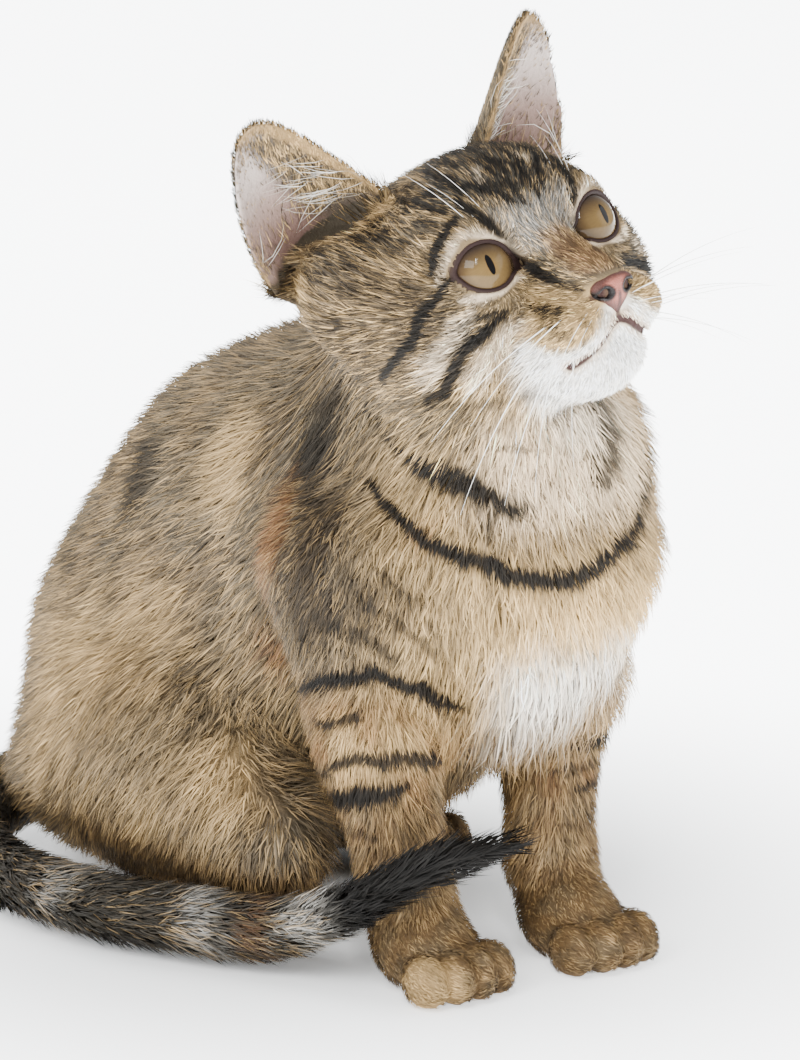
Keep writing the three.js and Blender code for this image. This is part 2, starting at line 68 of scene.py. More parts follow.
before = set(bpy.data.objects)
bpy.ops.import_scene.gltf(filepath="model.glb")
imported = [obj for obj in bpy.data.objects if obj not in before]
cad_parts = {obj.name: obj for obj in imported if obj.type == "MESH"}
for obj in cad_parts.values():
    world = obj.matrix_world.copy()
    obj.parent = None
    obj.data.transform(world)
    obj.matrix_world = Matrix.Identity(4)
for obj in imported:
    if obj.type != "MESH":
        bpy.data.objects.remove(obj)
CAD_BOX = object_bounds()

MM = 0.001
SIDES = {"right": -1, "left": 1}

# ---- shape tables (millimetres)

HEAD_CENTRE = np.array([2, -38, 170.0])
HEAD_YAW, HEAD_LIFT, HEAD_TILT = 1, 20.4, 13.7  # degrees

EYE_CENTRE = np.array([16.6, -16.8, 0.7])  # the left eyeball in the head's frame
EYE_RADIUS = 10
EYE_OUTWARD, EYE_UPWARD = 11, 4  # degrees

EAR = {
    "tip": [46.5, 3, 52.6],
    "medial": [17, 3, 27],
    "lateral": [47, 18, 13],
    "fullness": 1.2,
    "roundness": 0.5,
    "bow": 0.07,
    "cup": 12,
    "cup_fall": 0.7,
    "thickness": 2.6,
    "sunk": 0.28,
    "sunk_taper": 1.3,
    "last": 0.985,
}

FORELEG = {
    -1: {"shoulder": [-25, -20, 98], "elbow": [-27, -34, 60], "wrist": [-27, -47, 20], "paw": [-27, -55, 9]},
    1: {"shoulder": [27, -22, 98], "elbow": [25, -34, 60], "wrist": [19, -43, 20], "paw": [16, -56, 9]},
}
HINDLEG = {
    -1: {"thigh": [-40, 40, 37], "knee": [-40, -2, 26], "foot": [-37, 24, 9]},
    1: {"thigh": [32, 56, 42], "knee": [32, 28, 42], "foot": [28, 54, 9]},
}
TOE_COUNT, TOE_SPACING, TOE_REACH, TOE_ARCH, TOE_DROP = 4, 6.6, 1.5, 2.2, -2.2

TAIL_LINE = [
    [-8, 108, 20], [-40, 114, 12], [-68, 92, 11], [-80, 60, 10.6], [-77, 22, 10.6], [-65, -6, 10.6],
    [-54, -26, 12], [-49, -43, 18], [-45, -57, 26], [-37, -64, 32], [-28, -67.5, 34.5], [-15, -70, 37],
]
TAIL_PROFILE = [[0, 0.2, 0.4, 0.72, 0.83, 0.93, 1], [14, 12, 11, 10.6, 7.6, 5.8, 1.4]]  # share, radius

# ---- small mathematics


def unit(vectors):
    return vectors / np.maximum(np.linalg.norm(vectors, axis=-1, keepdims=True), 1e-9)


def smooth(low, high, value):
    share = np.clip((value - low) / (high - low), 0, 1)
    return share * share * (3 - 2 * share)


def mix(first, second, share):
    return first + (second - first) * share


def lay(colours, over, share):
    """Lays a colour over others, by a share for each point."""
    return mix(colours, over, share[:, None])


def spread(colour, points):
    """One colour for every point."""
    return np.tile(colour, (len(points), 1))


def turning(axis, degrees):
    """The matrix that turns about X, Y or Z."""
    c, s = math.cos(math.radians(degrees)), math.sin(math.radians(degrees))
    i, j = [(1, 2), (2, 0), (0, 1)]["XYZ".index(axis)]
    matrix = np.eye(3)
    matrix[i, i] = matrix[j, j] = c
    matrix[i, j], matrix[j, i] = -s, s
    return matrix


HEAD_TURN = turning("Z", HEAD_YAW) @ turning("X", -HEAD_LIFT) @ turning("Y", -HEAD_TILT)


def from_head(points):
    return HEAD_CENTRE + np.asarray(points, float) @ HEAD_TURN.T


def into_head(points):
    return (points - HEAD_CENTRE) @ HEAD_TURN


def mirrored(point, side):
    return [side * point[0], point[1], point[2]]


# ---- the distance field
#
# A form gives the distance from each point to its surface. `worn` is 0 at the tips of the coat and
# 1 at the skin, which lies inside by each form's own depth of coat.


def blend(a, b, reach):
    overlap = np.maximum(reach - np.abs(a - b), 0) / max(reach, 1e-6)
    return np.minimum(a, b) - overlap * overlap * reach / 4


def egg(centre, radii, coat, pitch=0, turn=0):
    """An ellipsoid turned about X by `pitch` and about Z by `turn` degrees."""
    frame_of = turning("Z", turn) @ turning("X", pitch)
    centre, radii = np.array(centre, float), np.array(radii, float)

    def distance(points, worn):
        local = ((points - centre) @ frame_of) / radii
        near = np.sqrt((local * local).sum(-1)) + 1e-6
        local /= radii
        slope = np.sqrt((local * local).sum(-1)) + 1e-9
        return near * (near - 1) / slope + worn * coat

    return distance


def limb(start, end, radii, coats):
    """A tapered limb with round ends."""
    start, end = np.array(start, float), np.array(end, float)
    axis = end - start
    length2 = float(axis @ axis)

    def distance(points, worn):
        away = points - start
        share = np.clip(away @ axis / length2, 0, 1)
        away = away - share[..., None] * axis
        thick = radii[0] + share * (radii[1] - radii[0])
        return np.sqrt((away * away).sum(-1)) - thick + worn * (coats[0] + share * (coats[1] - coats[0]))

    return distance


def joined(forms):
    """Joins forms, each [distance, reach of its blend] blended into the ones before it."""

    def distance(points, worn):
        points = points.reshape(-1, 3)
        found = forms[0][0](points, worn)
        middle = points.mean(0, keepdims=True)
        radius = 1.5 * np.sqrt(((points - middle) ** 2).sum(-1).max())
        for form, reach in forms[1:]:
            if form(middle, worn)[0] - radius < found.max() + reach:  # too far away to matter otherwise
                found = blend(found, form(points, worn), reach)
        return found

    return distance


def both(make, reach):
    return [[make(-1), reach], [make(1), reach]]


SKULL = joined([
    [egg([0, 8, 2], [34, 35, 28], 4), 0],
    [egg([0, -8, 10], [25, 19, 18], 2.4), 10],
    *both(lambda s: egg([22 * s, -3, -11], [18, 23, 20], 4.5), 12),
    *both(lambda s: egg([15.5 * s, -18, 8], [9.5, 8, 6.5], 1.6), 7),
    *both(lambda s: egg([15.5 * s, -18, -7], [11, 8.5, 6.5], 1.4), 6),
    [limb([0, -20, 4], [0, -37, -10.5], [8, 5.8], [1.3, 0.7]), 6],
    [egg([0, -27, -18], [15, 14, 11], 1.6), 9],
    *both(lambda s: egg([8 * s, -33.5, -20], [9.8, 9.5, 7.8], 1.1), 4),
    [egg([0, -40.3, -13.6], [5.5, 4.2, 4.6], 0.5), 3],
    [egg([0, -27.5, -29], [12, 10, 8], 1.7), 5],
    *both(lambda s: limb([22 * s, 2, -24], [4 * s, -24, -27], [12, 9], [4, 2.4]), 8),
    *both(lambda s: egg([34 * s, 13, 8], [10, 12, 14], 2.5), 12),
    *both(lambda s: egg(mirrored(EYE_CENTRE, s), [11.9, 11.9, 11.9], 0.9), 2.5),
])


def head(points, worn):
    return SKULL(into_head(points), worn)


def paw(centre, radii, coat):
    forms = [[egg(centre, radii, coat), 0]]
    for i in range(TOE_COUNT):
        across = i - (TOE_COUNT - 1) / 2
        place = [
            centre[0] + across * TOE_SPACING,
            centre[1] - radii[1] - TOE_REACH + abs(across) * TOE_ARCH,
            centre[2] + TOE_DROP - 0.5 * abs(across),
        ]
        forms.append([egg(place, [5, 8, 7.6], 1.1), 2])
    return joined(forms)


def foreleg(side):
    pose = FORELEG[side]
    return joined([
        [limb(pose["shoulder"], pose["elbow"], [25, 16], [6.5, 4.5]), 0],
        [limb(pose["elbow"], pose["wrist"], [16, 11], [4.5, 2.6]), 10],
        [limb(pose["wrist"], pose["paw"], [11, 10], [2.6, 1.8]), 8],
        [paw(pose["paw"], [13, 15, 10.5], 1.6), 5],
    ])


def hindleg(side):
    pose = HINDLEG[side]
    return joined([
        [egg(pose["thigh"], [26, 48, 37], 7, pitch=8), 0],
        [egg(pose["knee"], [18, 26, 21], 6), 14],
        [paw(pose["foot"], [12, 30, 10], 1.8), 6],
    ])


TRUNK = joined([
    [egg([7, -38, 102], [43, 41, 45], 8, pitch=12, turn=12), 0],
    [egg([0, 8, 112], [39, 42, 43], 7), 20],
    [egg([-4, 44, 89], [46, 51, 55], 7, pitch=30), 22],
    [egg([-7, 68, 52], [52, 55, 54], 7.5), 22],
    [egg([0, 20, 66], [36, 44, 36], 7), 18],
    [egg([-9, 74, 26], [56, 44, 30], 7), 14],
])
NECK = [
    [egg([10, -40, 131], [34, 31, 26], 7.5), 14],
    [limb([3, -8, 122], from_head([0, 14, -8]), [33, 31], [7, 6]), 16],
]
FORELEGS = {side: foreleg(side) for side in (-1, 1)}
HINDLEGS = {side: hindleg(side) for side in (-1, 1)}
FLESH = joined([
    [TRUNK, 0],
    *NECK,
    [head, 9],
    *both(FORELEGS.get, 12),
    *both(HINDLEGS.get, 14),
])


SLOPE_STEP = 0.15


def slope_of(distance, points):
    """A distance at each point, and the direction in which it grows fastest."""
    here = distance(points)
    steps = [distance(points + SLOPE_STEP * axis) - here for axis in np.eye(3)]
    return here, unit(np.stack(steps, -1))


# ---- ears and tail as closed sheets


def ear_frame(side):
    """The ear's foot and its axes along, across and out of the hollow, in the head's frame."""
    corners = [mirrored(EAR[key], side) for key in ("tip", "medial", "lateral")]
    tip, medial, lateral = np.array(corners, float)
    foot = (medial + lateral) / 2
    along, across = tip - foot, (lateral - medial) / 2
    opening = unit(np.cross(across, along)) * side
    return foot, along, across, opening


def ear_place(points, side):
    """Where points of the head's frame lie on an ear: share of its length, share across, height."""
    foot, along, across, opening = ear_frame(side)
    local = points - foot
    v = local @ along / (along @ along)
    width = np.sqrt(np.clip(1 - np.clip(v, 0, 1) ** EAR["fullness"], 0.02, 1))
    lean = EAR["bow"] * np.clip(v, 0, 1) * (1 - np.clip(v, 0, 1)) * 4
    u = (local @ across / (across @ across) - lean) / width
    hollow = EAR["cup"] * (1 - np.clip(v, 0, 1)) ** EAR["cup_fall"] * (1 - np.clip(u, -1, 1) ** 2)
    return v, u, local @ opening + hollow


EAR_COLUMNS, EAR_ROWS = 23, 31


def ear_sheet(side):
    """A thin closed shell in the shape of the ear's own skin."""
    foot, along, across, opening = ear_frame(side)
    columns, rows = EAR_COLUMNS, EAR_ROWS
    v = np.linspace(-EAR["sunk"], EAR["last"], rows)[:, None]
    u = np.linspace(-1, 1, columns)[None, :]
    rise = np.maximum(v, 0)
    width = np.where(v <= 0, 1 + EAR["sunk_taper"] * v, (1 - rise ** EAR["fullness"]) ** EAR["roundness"])
    lean = EAR["bow"] * rise * (1 - v) * 4
    hollow = EAR["cup"] * (1 - rise) ** EAR["cup_fall"] * (1 - u * u)
    half = 0.5 * EAR["thickness"] * (1 - 0.3 * rise) * (0.75 + 0.25 * np.sqrt(1 - u * u))
    sheets = []
    for face in (1, -1):
        flat = foot + v[..., None] * along + (u * width + lean)[..., None] * across
        sheets.append(flat + (face * half - hollow)[..., None] * opening)
    points = from_head(np.concatenate([sheet.reshape(-1, 3) for sheet in sheets]))
    quads = grid_quads(rows, columns)
    rim = np.concatenate([
        np.arange(columns - 1),
        columns - 1 + columns * np.arange(rows - 1),
        rows * columns - 1 - np.arange(columns - 1),
        columns * np.arange(rows - 1, 0, -1),
    ])
    after = np.roll(rim, -1)
    back = rows * columns
    edge = np.stack([rim, rim + back, after + back, after], -1)
    return points, np.concatenate([quads, quads[:, ::-1] + back, edge])


def grid_quads(rows, columns, closed=False):
    """The quads between rows of vertices, also from the last column to the first where closed."""
    here = np.arange(rows * columns).reshape(rows, columns)
    right = np.roll(here, -1, 1) if closed else here[:, 1:]
    left = here if closed else here[:, :-1]
    return np.stack([left[:-1], right[:-1], right[1:], left[1:]], -1).reshape(-1, 4)


def end_fans(count, columns):
    """Triangles that close a tube of `count` vertices at its ends, onto the two vertices after them."""
    around = np.arange(columns)
    after = np.roll(around, -1)
    end = count - columns
    return np.concatenate([
        np.stack([np.full(columns, count), after, around], -1),
        np.stack([np.full(columns, count + 1), around + end, after + end], -1),
    ])


CURVE_STEPS = 24  # between two points of a curve


def curve_through(points, samples):
    """A centripetal Catmull-Rom curve through points, at even shares of its length."""
    points = np.array(points, float)
    points = np.vstack([2 * points[0] - points[1], points, 2 * points[-1] - points[-2]])
    found = []
    for a, b, c, d in zip(points, points[1:], points[2:], points[3:]):
        knots = np.cumsum([0, *[np.linalg.norm(q - p) ** 0.5 for p, q in ((a, b), (b, c), (c, d))]])
        t = np.linspace(knots[1], knots[2], CURVE_STEPS, endpoint=False)[:, None]

        def between(p, q, i, j):
            return p + (q - p) * (t - knots[i]) / (knots[j] - knots[i])

        ab, bc, cd = between(a, b, 0, 1), between(b, c, 1, 2), between(c, d, 2, 3)
        first, second = between(ab, bc, 0, 2), between(bc, cd, 1, 3)
        found.append(between(first, second, 1, 2))
    found = np.vstack([*found, points[-2]])
    length = np.concatenate([[0], np.cumsum(np.linalg.norm(np.diff(found, axis=0), axis=1))])
    at = np.linspace(0, length[-1], samples)
    return np.stack([np.interp(at, length, column) for column in found.T], -1)


TAIL_COAT, TAIL_CORE = 5.2, 0.42  # depth of the coat, and the least share of the radius within it
TAIL_STEPS, TAIL_SIDES = 120, 16
TAIL_CURVE = curve_through(TAIL_LINE, TAIL_STEPS + 1)
TAIL_ALONG = unit(np.gradient(TAIL_CURVE, axis=0))
TAIL_RADII = np.interp(np.linspace(0, 1, TAIL_STEPS + 1), *TAIL_PROFILE)


def tail_tube():
    """The tail's skin: rings on its line, inside the coat, closed at both ends."""
    radii = np.maximum(TAIL_RADII - TAIL_COAT, TAIL_RADII * TAIL_CORE)
    across = unit(np.cross(TAIL_ALONG, [0, 0, 1.0]))
    over = np.cross(across, TAIL_ALONG)
    angle = np.linspace(0, 2 * np.pi, TAIL_SIDES, endpoint=False)[None, :, None]
    ring = across[:, None] * np.cos(angle) + over[:, None] * np.sin(angle)
    points = (TAIL_CURVE[:, None] + radii[:, None, None] * ring).reshape(-1, 3)
    quads = grid_quads(len(TAIL_CURVE), TAIL_SIDES, closed=True)
    caps = end_fans(len(points), TAIL_SIDES)
    return np.vstack([points, TAIL_CURVE[0], TAIL_CURVE[-1]]), quads, caps


POINTS_AT_ONCE = 20000


def along_tail(points):
    """The share of the tail's length, the distance from its line and its direction, at each point."""
    nearest = np.empty(len(points), int)
    for start in range(0, len(points), POINTS_AT_ONCE):
        part = points[start:start + POINTS_AT_ONCE]
        nearest[start:start + POINTS_AT_ONCE] = ((part[:, None] - TAIL_CURVE[None]) ** 2).sum(-1).argmin(1)
    away = np.linalg.norm(points - TAIL_CURVE[nearest], axis=1)
    return nearest / TAIL_STEPS, away, TAIL_ALONG[nearest]


# ---- eyes, lids and mouth


def eye_turn(side):
    return turning("Z", side * EYE_OUTWARD) @ turning("X", -EYE_UPWARD)


def into_eye(local, side):
    """From the head's frame: outwards across the eye, upwards, and forwards out of it."""
    found = (local - mirrored(EYE_CENTRE, side)) @ eye_turn(side)
    return np.stack([side * found[..., 0], found[..., 2], -found[..., 1]], -1)


def from_eye(points, side):
    """From an eye's outwards, upwards and forwards to the kitten's own frame."""
    own = np.stack([side * points[..., 0], -points[..., 2], points[..., 1]], -1)
    return from_head(own @ eye_turn(side).T + mirrored(EYE_CENTRE, side))


LID = {
    "width": 6.8, "height": 5.3, "slant": 10,
    "inner": 0.5, "inner_spread": 12, "inner_angle": 194,
    "outer": 0.07, "outer_spread": 14,
}
SOCKET_GAP, LID_GAP = 0.35, 1.0  # room round the ball, and between the skin and the lids' edge


def lid_opening(angle):
    """The distance from the eye's axis to the edge of the lids, with a drawn-out inner corner."""
    flat = angle - math.radians(LID["slant"])
    oval = 1 / np.sqrt((np.cos(flat) / LID["width"]) ** 2 + (np.sin(flat) / LID["height"]) ** 2)
    inner = (np.degrees(angle) - LID["inner_angle"] + 180) % 360 - 180
    outer = (np.degrees(angle) - LID["slant"] + 180) % 360 - 180
    inner_corner = LID["inner"] * np.exp(-((inner / LID["inner_spread"]) ** 2))
    outer_corner = LID["outer"] * np.exp(-((outer / LID["outer_spread"]) ** 2))
    return oval * (1 + inner_corner + outer_corner)


def socket_distance(local, side):
    """How far points of the head's frame are outside the eye's ball and the opening before it."""
    across, up, front = np.moveaxis(into_eye(local, side), -1, 0)
    ball = np.sqrt(across**2 + up**2 + front**2) - EYE_RADIUS - SOCKET_GAP
    opening = np.hypot(across, up) - lid_opening(np.arctan2(up, across)) - LID_GAP
    return np.minimum(ball, np.maximum(opening, -front))


def on_skull(line):
    """A line of the head's frame laid onto its skin."""
    for _ in range(8):
        here, slope = slope_of(lambda points: SKULL(points, 1), line)
        line = line - slope * here[:, None]
    return line


LIP = [[12.5, -31, -28.2], [9.5, -35.4, -27.6], [5, -39, -25.6], [1.8, -41, -23.8]]  # the left half
LIPS_MEET = [0, -41.3, -22.8]
MOUTH_LINE = on_skull(curve_through([*[mirrored(place, -1) for place in LIP], LIPS_MEET, *LIP[::-1]], 41))
PHILTRUM = on_skull(curve_through([[0, -44.6, -18.5], [0, -42.6, -20.6], LIPS_MEET], 9))


def distance_to_line(points, line):
    found = np.full(len(points), np.inf)
    for start, end in zip(line, line[1:]):
        axis = end - start
        share = np.clip((points - start) @ axis / (axis @ axis), 0, 1)[:, None]
        found = np.minimum(found, np.linalg.norm(points - start - share * axis, axis=1))
    return found


def nose_wedge(local, grown):
    """The outline of the bare leather, drawn straight back into the muzzle."""
    shape = joined([
        [egg([0, -42, -13.9], [5.9, 9, 2.7], -grown), 0],
        [egg([0, -42, -16.4], [3.9, 9, 3.1], -grown), 2.5],
        [egg([0, -42, -18.8], [1.3, 9, 1.8], -grown), 1.5],
    ])
    return shape(local, 1)


def nostrils(local):
    """Two round holes, each with a slit that curls out and back."""
    found = np.full(len(local), 9.0)
    for side in (-1, 1):
        hole = limb([2.1 * side, -46.5, -16.6], [3.6 * side, -42.4, -14.7], [0.95, 1.0], [0, 0])(local, 0)
        slit = limb([3.6 * side, -44.4, -14.9], [6.3 * side, -41.3, -14.9], [0.8, 0.45], [0, 0])(local, 0)
        found = np.minimum(found, blend(hole, slit, 0.6))
    return found


def face_distance(points):
    """The skin over the front of the face, with the eyes' sockets and the lips' line cut in."""
    local = into_head(points)
    found = SKULL(local, 1)
    found = blend(found, FLESH(points, 1), 0.01)
    for side in (-1, 1):
        found = -blend(-found, socket_distance(local, side), 0.5)
    found = np.maximum(found, 0.25 - nostrils(local))
    lips = np.minimum(distance_to_line(local, MOUTH_LINE) - 0.55, distance_to_line(local, PHILTRUM) - 0.3)
    return -blend(-found, lips, 0.6)


# ---- the skin's volume


class Volume:
    """A block of distances on a grid, from which one closed surface is drawn."""

    block = 6  # cells to the side of a block that is sampled at once

    def __init__(self, low, high, cell, reach=6.0):
        block = self.block
        self.cell, self.reach = cell, reach
        self.first = np.floor(np.array(low) / cell).astype(int)
        blocks = np.ceil((np.array(high) / cell - self.first) / block).astype(int)
        self.values = np.full(blocks * block, reach, np.float32)

    def fill(self, distance):
        """Samples a distance closely in the blocks that its surface may cross, and roughly elsewhere."""
        size = np.array(self.values.shape) // self.block
        spots = np.stack(np.meshgrid(*[np.arange(n) for n in size], indexing="ij"), -1)
        middles = (self.first + (spots + 0.5) * self.block - 0.5) * self.cell
        rough = distance(middles.reshape(-1, 3)).reshape(size)
        b = self.block
        view = self.values.reshape(size[0], b, size[1], b, size[2], b).transpose(0, 2, 4, 1, 3, 5)
        view[:] = np.clip(rough, -self.reach, self.reach)[..., None, None, None]
        near = np.argwhere(np.abs(rough) < 1.5 * (0.87 * b + 1) * self.cell)
        inner = np.stack(np.meshgrid(*[np.arange(b)] * 3, indexing="ij"), -1)
        tiles = (near // 5) @ [1, 100, 10000]
        for tile in np.unique(tiles):  # blocks that lie together are sampled together
            part = near[tiles == tile]
            places = (self.first + part[:, None, None, None] * b + inner) * self.cell
            found = distance(places.reshape(-1, 3).astype(float)).reshape(places.shape[:-1])
            view[tuple(part.T)] = np.clip(found, -self.reach, self.reach)

    def include(self, points, triangles, quads, reach):
        """Blends a closed mesh into the surface."""
        grid = openvdb.FloatGrid.createLevelSetFromPolygons(
            points.astype(np.float32),
            triangles=triangles.astype(np.uint32),
            quads=quads.astype(np.uint32),
            transform=openvdb.createLinearTransform(self.cell),
            halfWidth=self.reach / self.cell,
        )
        found = np.full(self.values.shape, self.reach, np.float32)
        grid.copyToArray(found, ijk=tuple(int(n) for n in self.first))
        self.values = blend(self.values, found, reach)

    def surface(self):
        """Vertices, triangles and quads of the surface."""
        grid = openvdb.FloatGrid(self.reach)
        grid.copyFromArray(self.values, ijk=tuple(int(n) for n in self.first))
        grid.transform = openvdb.createLinearTransform(self.cell)
        points, triangles, quads = grid.convertToPolygons(isovalue=0, adaptivity=0.0)
        return points.astype(float), triangles.astype(int), quads.astype(int)


# ---- meshes in Blender


def frame_shift():
    """From the kitten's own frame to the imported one, read off the left eye's ball."""
    low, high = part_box("eye_left")
    return np.array((low + high) / 2) / MM - from_head(EYE_CENTRE)


SHIFT = frame_shift()
SHIFT[2] = 0


def new_mesh(name, points, triangles=None, quads=None):
    """An object of the given faces; points are millimetres in the kitten's own frame."""
    mesh = bpy.data.meshes.new(name)
    triangles = np.zeros((0, 3), int) if triangles is None else triangles
    quads = np.zeros((0, 4), int) if quads is None else quads
    corners = np.concatenate([triangles.ravel(), quads.ravel()]).astype(np.int32)
    starts = np.concatenate([
        np.arange(len(triangles)) * 3,
        len(triangles) * 3 + np.arange(len(quads)) * 4,
    ]).astype(np.int32)
    mesh.vertices.add(len(points))
    mesh.vertices.foreach_set("co", ((points + SHIFT) * MM).astype(np.float32).ravel())
    mesh.loops.add(len(corners))
    mesh.loops.foreach_set("vertex_index", corners)
    mesh.polygons.add(len(starts))
    mesh.polygons.foreach_set("loop_start", starts)
    mesh.update(calc_edges=True)
    piece = bpy.data.objects.new(name, mesh)
    bpy.context.scene.collection.objects.link(piece)
    return piece


def read(values, key, width, kind=np.float32):
    """One property of everything in a mesh's collection, a row for each."""
    found = np.empty(len(values) * width, kind)
    values.foreach_get(key, found)
    return found.reshape(-1, width)


def corner_vertices(mesh):
    return read(mesh.loops, "vertex_index", 1, np.int32)[:, 0]


def places(mesh):
    """A mesh's vertices as millimetres in the kitten's own frame."""
    return read(mesh.vertices, "co", 3).astype(float) / MM - SHIFT


def set_places(mesh, points):
    mesh.vertices.foreach_set("co", ((points + SHIFT) * MM).astype(np.float32).ravel())
    mesh.update()


def vertex_normals(mesh):
    return read(mesh.vertex_normals, "vector", 3).astype(float)


def paint(mesh, name, colours):
    """A colour at each vertex: linear RGB, and a fourth value where one is given."""
    layer = mesh.color_attributes.new(name, "FLOAT_COLOR", "POINT")
    if colours.shape[1] == 3:
        colours = np.column_stack([colours, np.ones(len(colours))])
    layer.data.foreach_set("color", colours.astype(np.float32).ravel())


def made_plain(piece):
    """Turns what a piece's modifiers make into its own plain mesh."""
    bpy.context.view_layer.update()
    evaluated = piece.evaluated_get(bpy.context.evaluated_depsgraph_get())
    old, piece.data = piece.data, bpy.data.meshes.new_from_object(evaluated)
    piece.modifiers.clear()
    bpy.data.meshes.remove(old)


def finish_piece(piece, material, slot, *nodes):
    """Gives a piece its material, makes it ride on the body and stand for its solids."""
    piece.data.materials.clear()
    piece.data.materials.append(material)
    piece.data.polygons.foreach_set("use_smooth", [True] * len(piece.data.polygons))
    piece.data.update()
    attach(piece, "root")
    if nodes:
        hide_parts(*nodes)
    return piece


# ---- the skin

FACE_START = -15  # the face lies before this, in the head's frame
NEAR_SKIN, FACE_STEP = 2.5, 0.6  # millimetres
FACE_ROUNDS, EAR_ROUNDS = 3, 4


def refine_face(mesh):
    """Splits the edges of the front of the face once and lays the vertices on the exact surface."""
    editing = bmesh.new()
    editing.from_mesh(mesh)
    editing.verts.ensure_lookup_table()
    points = places(mesh)
    local = into_head(points)
    front = (local[:, 1] < FACE_START + 1) & (np.abs(FLESH(points, 1)) < NEAR_SKIN)
    chosen = [edge for edge in editing.edges if front[edge.verts[0].index] and front[edge.verts[1].index]]
    bmesh.ops.subdivide_edges(editing, edges=chosen, cuts=1, use_grid_fill=True)
    bmesh.ops.triangulate(editing, faces=[face for face in editing.faces if len(face.verts) > 4])
    editing.to_mesh(mesh)
    editing.free()
    points = places(mesh)
    local = into_head(points)
    chosen = np.flatnonzero((local[:, 1] < FACE_START) & (np.abs(FLESH(points, 1)) < NEAR_SKIN))
    for _ in range(FACE_ROUNDS):
        here, slope = slope_of(face_distance, points[chosen])
        points[chosen] -= slope * np.clip(here, -FACE_STEP, FACE_STEP)[:, None]
    set_places(mesh, points)


SKIN_BLOCK = ([-94, -98, 0.4], [80, 134, 232])
SKIN_CELL, SKIN_FLOOR = 0.8, 0.5
SKIN_TRIANGLES = 110000


def build_skin():
    """One closed skin over head, ears, trunk, legs and tail."""
    volume = Volume(*SKIN_BLOCK, SKIN_CELL)
    volume.fill(lambda points: np.maximum(FLESH(points, 1), SKIN_FLOOR - points[:, 2]))
    tube, quads, caps = tail_tube()
    volume.include(tube, caps, quads, 5)
    for side in (-1, 1):
        points, faces = ear_sheet(side)
        volume.include(points, np.zeros((0, 3), int), faces if side > 0 else faces[:, ::-1], 3)
    for side in (-1, 1):
        carve_socket(volume, side)
    points, triangles, quads = volume.surface()
    piece = new_mesh("skin", points, triangles, quads)
    thin_out(piece, SKIN_TRIANGLES / (2 * len(quads)))
    relax_ears(piece.data)
    refine_face(piece.data)
    return piece


def relax_ears(mesh):
    """Evens out the thin rims of the ears."""
    points = places(mesh)
    pairs = read(mesh.edges, "vertices", 2, np.int32)
    on_ear = (FLESH(points, 1) > 1.2) & (into_head(points)[:, 2] > 12)
    number = np.maximum(np.bincount(pairs.ravel(), minlength=len(points)), 1)[:, None]
    for _ in range(EAR_ROUNDS):
        total = np.stack([
            np.bincount(pairs[:, 0], points[pairs[:, 1], axis], len(points))
            + np.bincount(pairs[:, 1], points[pairs[:, 0], axis], len(points))
            for axis in range(3)
        ], -1)
        points = np.where(on_ear[:, None], mix(points, total / number, 0.5), points)
    set_places(mesh, points)


def thin_out(piece, share):
    """Leaves larger faces wherever the coat hides the skin, and the face and ears as they are."""
    local = into_head(places(piece.data))
    hidden = (local[:, 1] > -10) & (local[:, 2] < 22)
    group = piece.vertex_groups.new(name="hidden")
    group.add(np.flatnonzero(hidden).tolist(), 1.0, "REPLACE")
    modifier = piece.modifiers.new("fewer faces", "DECIMATE")
    modifier.ratio = share
    modifier.vertex_group = group.name
    modifier.vertex_group_factor = 1.0
    made_plain(piece)
    piece.vertex_groups.clear()


SOCKET_REACH = 22  # millimetres


def carve_socket(volume, side):
    """Cuts an eye's socket out of the volume."""
    centre = from_head(mirrored(EYE_CENTRE, side))
    low = np.floor((centre - SOCKET_REACH) / volume.cell).astype(int) - volume.first
    high = np.minimum(low + int(2 * SOCKET_REACH / volume.cell), volume.values.shape)
    part = tuple(slice(a, b) for a, b in zip(low, high))
    spots = np.stack(np.meshgrid(*[np.arange(a, b) for a, b in zip(low, high)], indexing="ij"), -1)
    local = into_head((volume.first + spots) * volume.cell)
    volume.values[part] = np.maximum(volume.values[part], -socket_distance(local, side))


def unwrap(piece):
    """The coat's map: the skin's own shape laid out flat."""
    layer = piece.data.uv_layers.new(name="OFBake")
    piece.data.uv_layers.active = layer
    layer.active_render = True
    bpy.ops.object.select_all(action="DESELECT")
    bpy.context.view_layer.objects.active = piece
    piece.select_set(True)
    bpy.ops.object.mode_set(mode="EDIT")
    bpy.ops.mesh.select_all(action="SELECT")
    bpy.ops.uv.smart_project(angle_limit=math.radians(72), island_margin=0.001)
    bpy.ops.object.mode_set(mode="OBJECT")


# ---- eyes, lids and nose

EYE_INSET, CORNEA_RISE = 0.1, 0.55
EYE_ROWS, EYE_COLUMNS, EYE_POLE = 90, 96, 0.004  # and how far the first row is from the pole, in radians
GAZE_SCALE = 0.05  # of the eye's map, for a millimetre


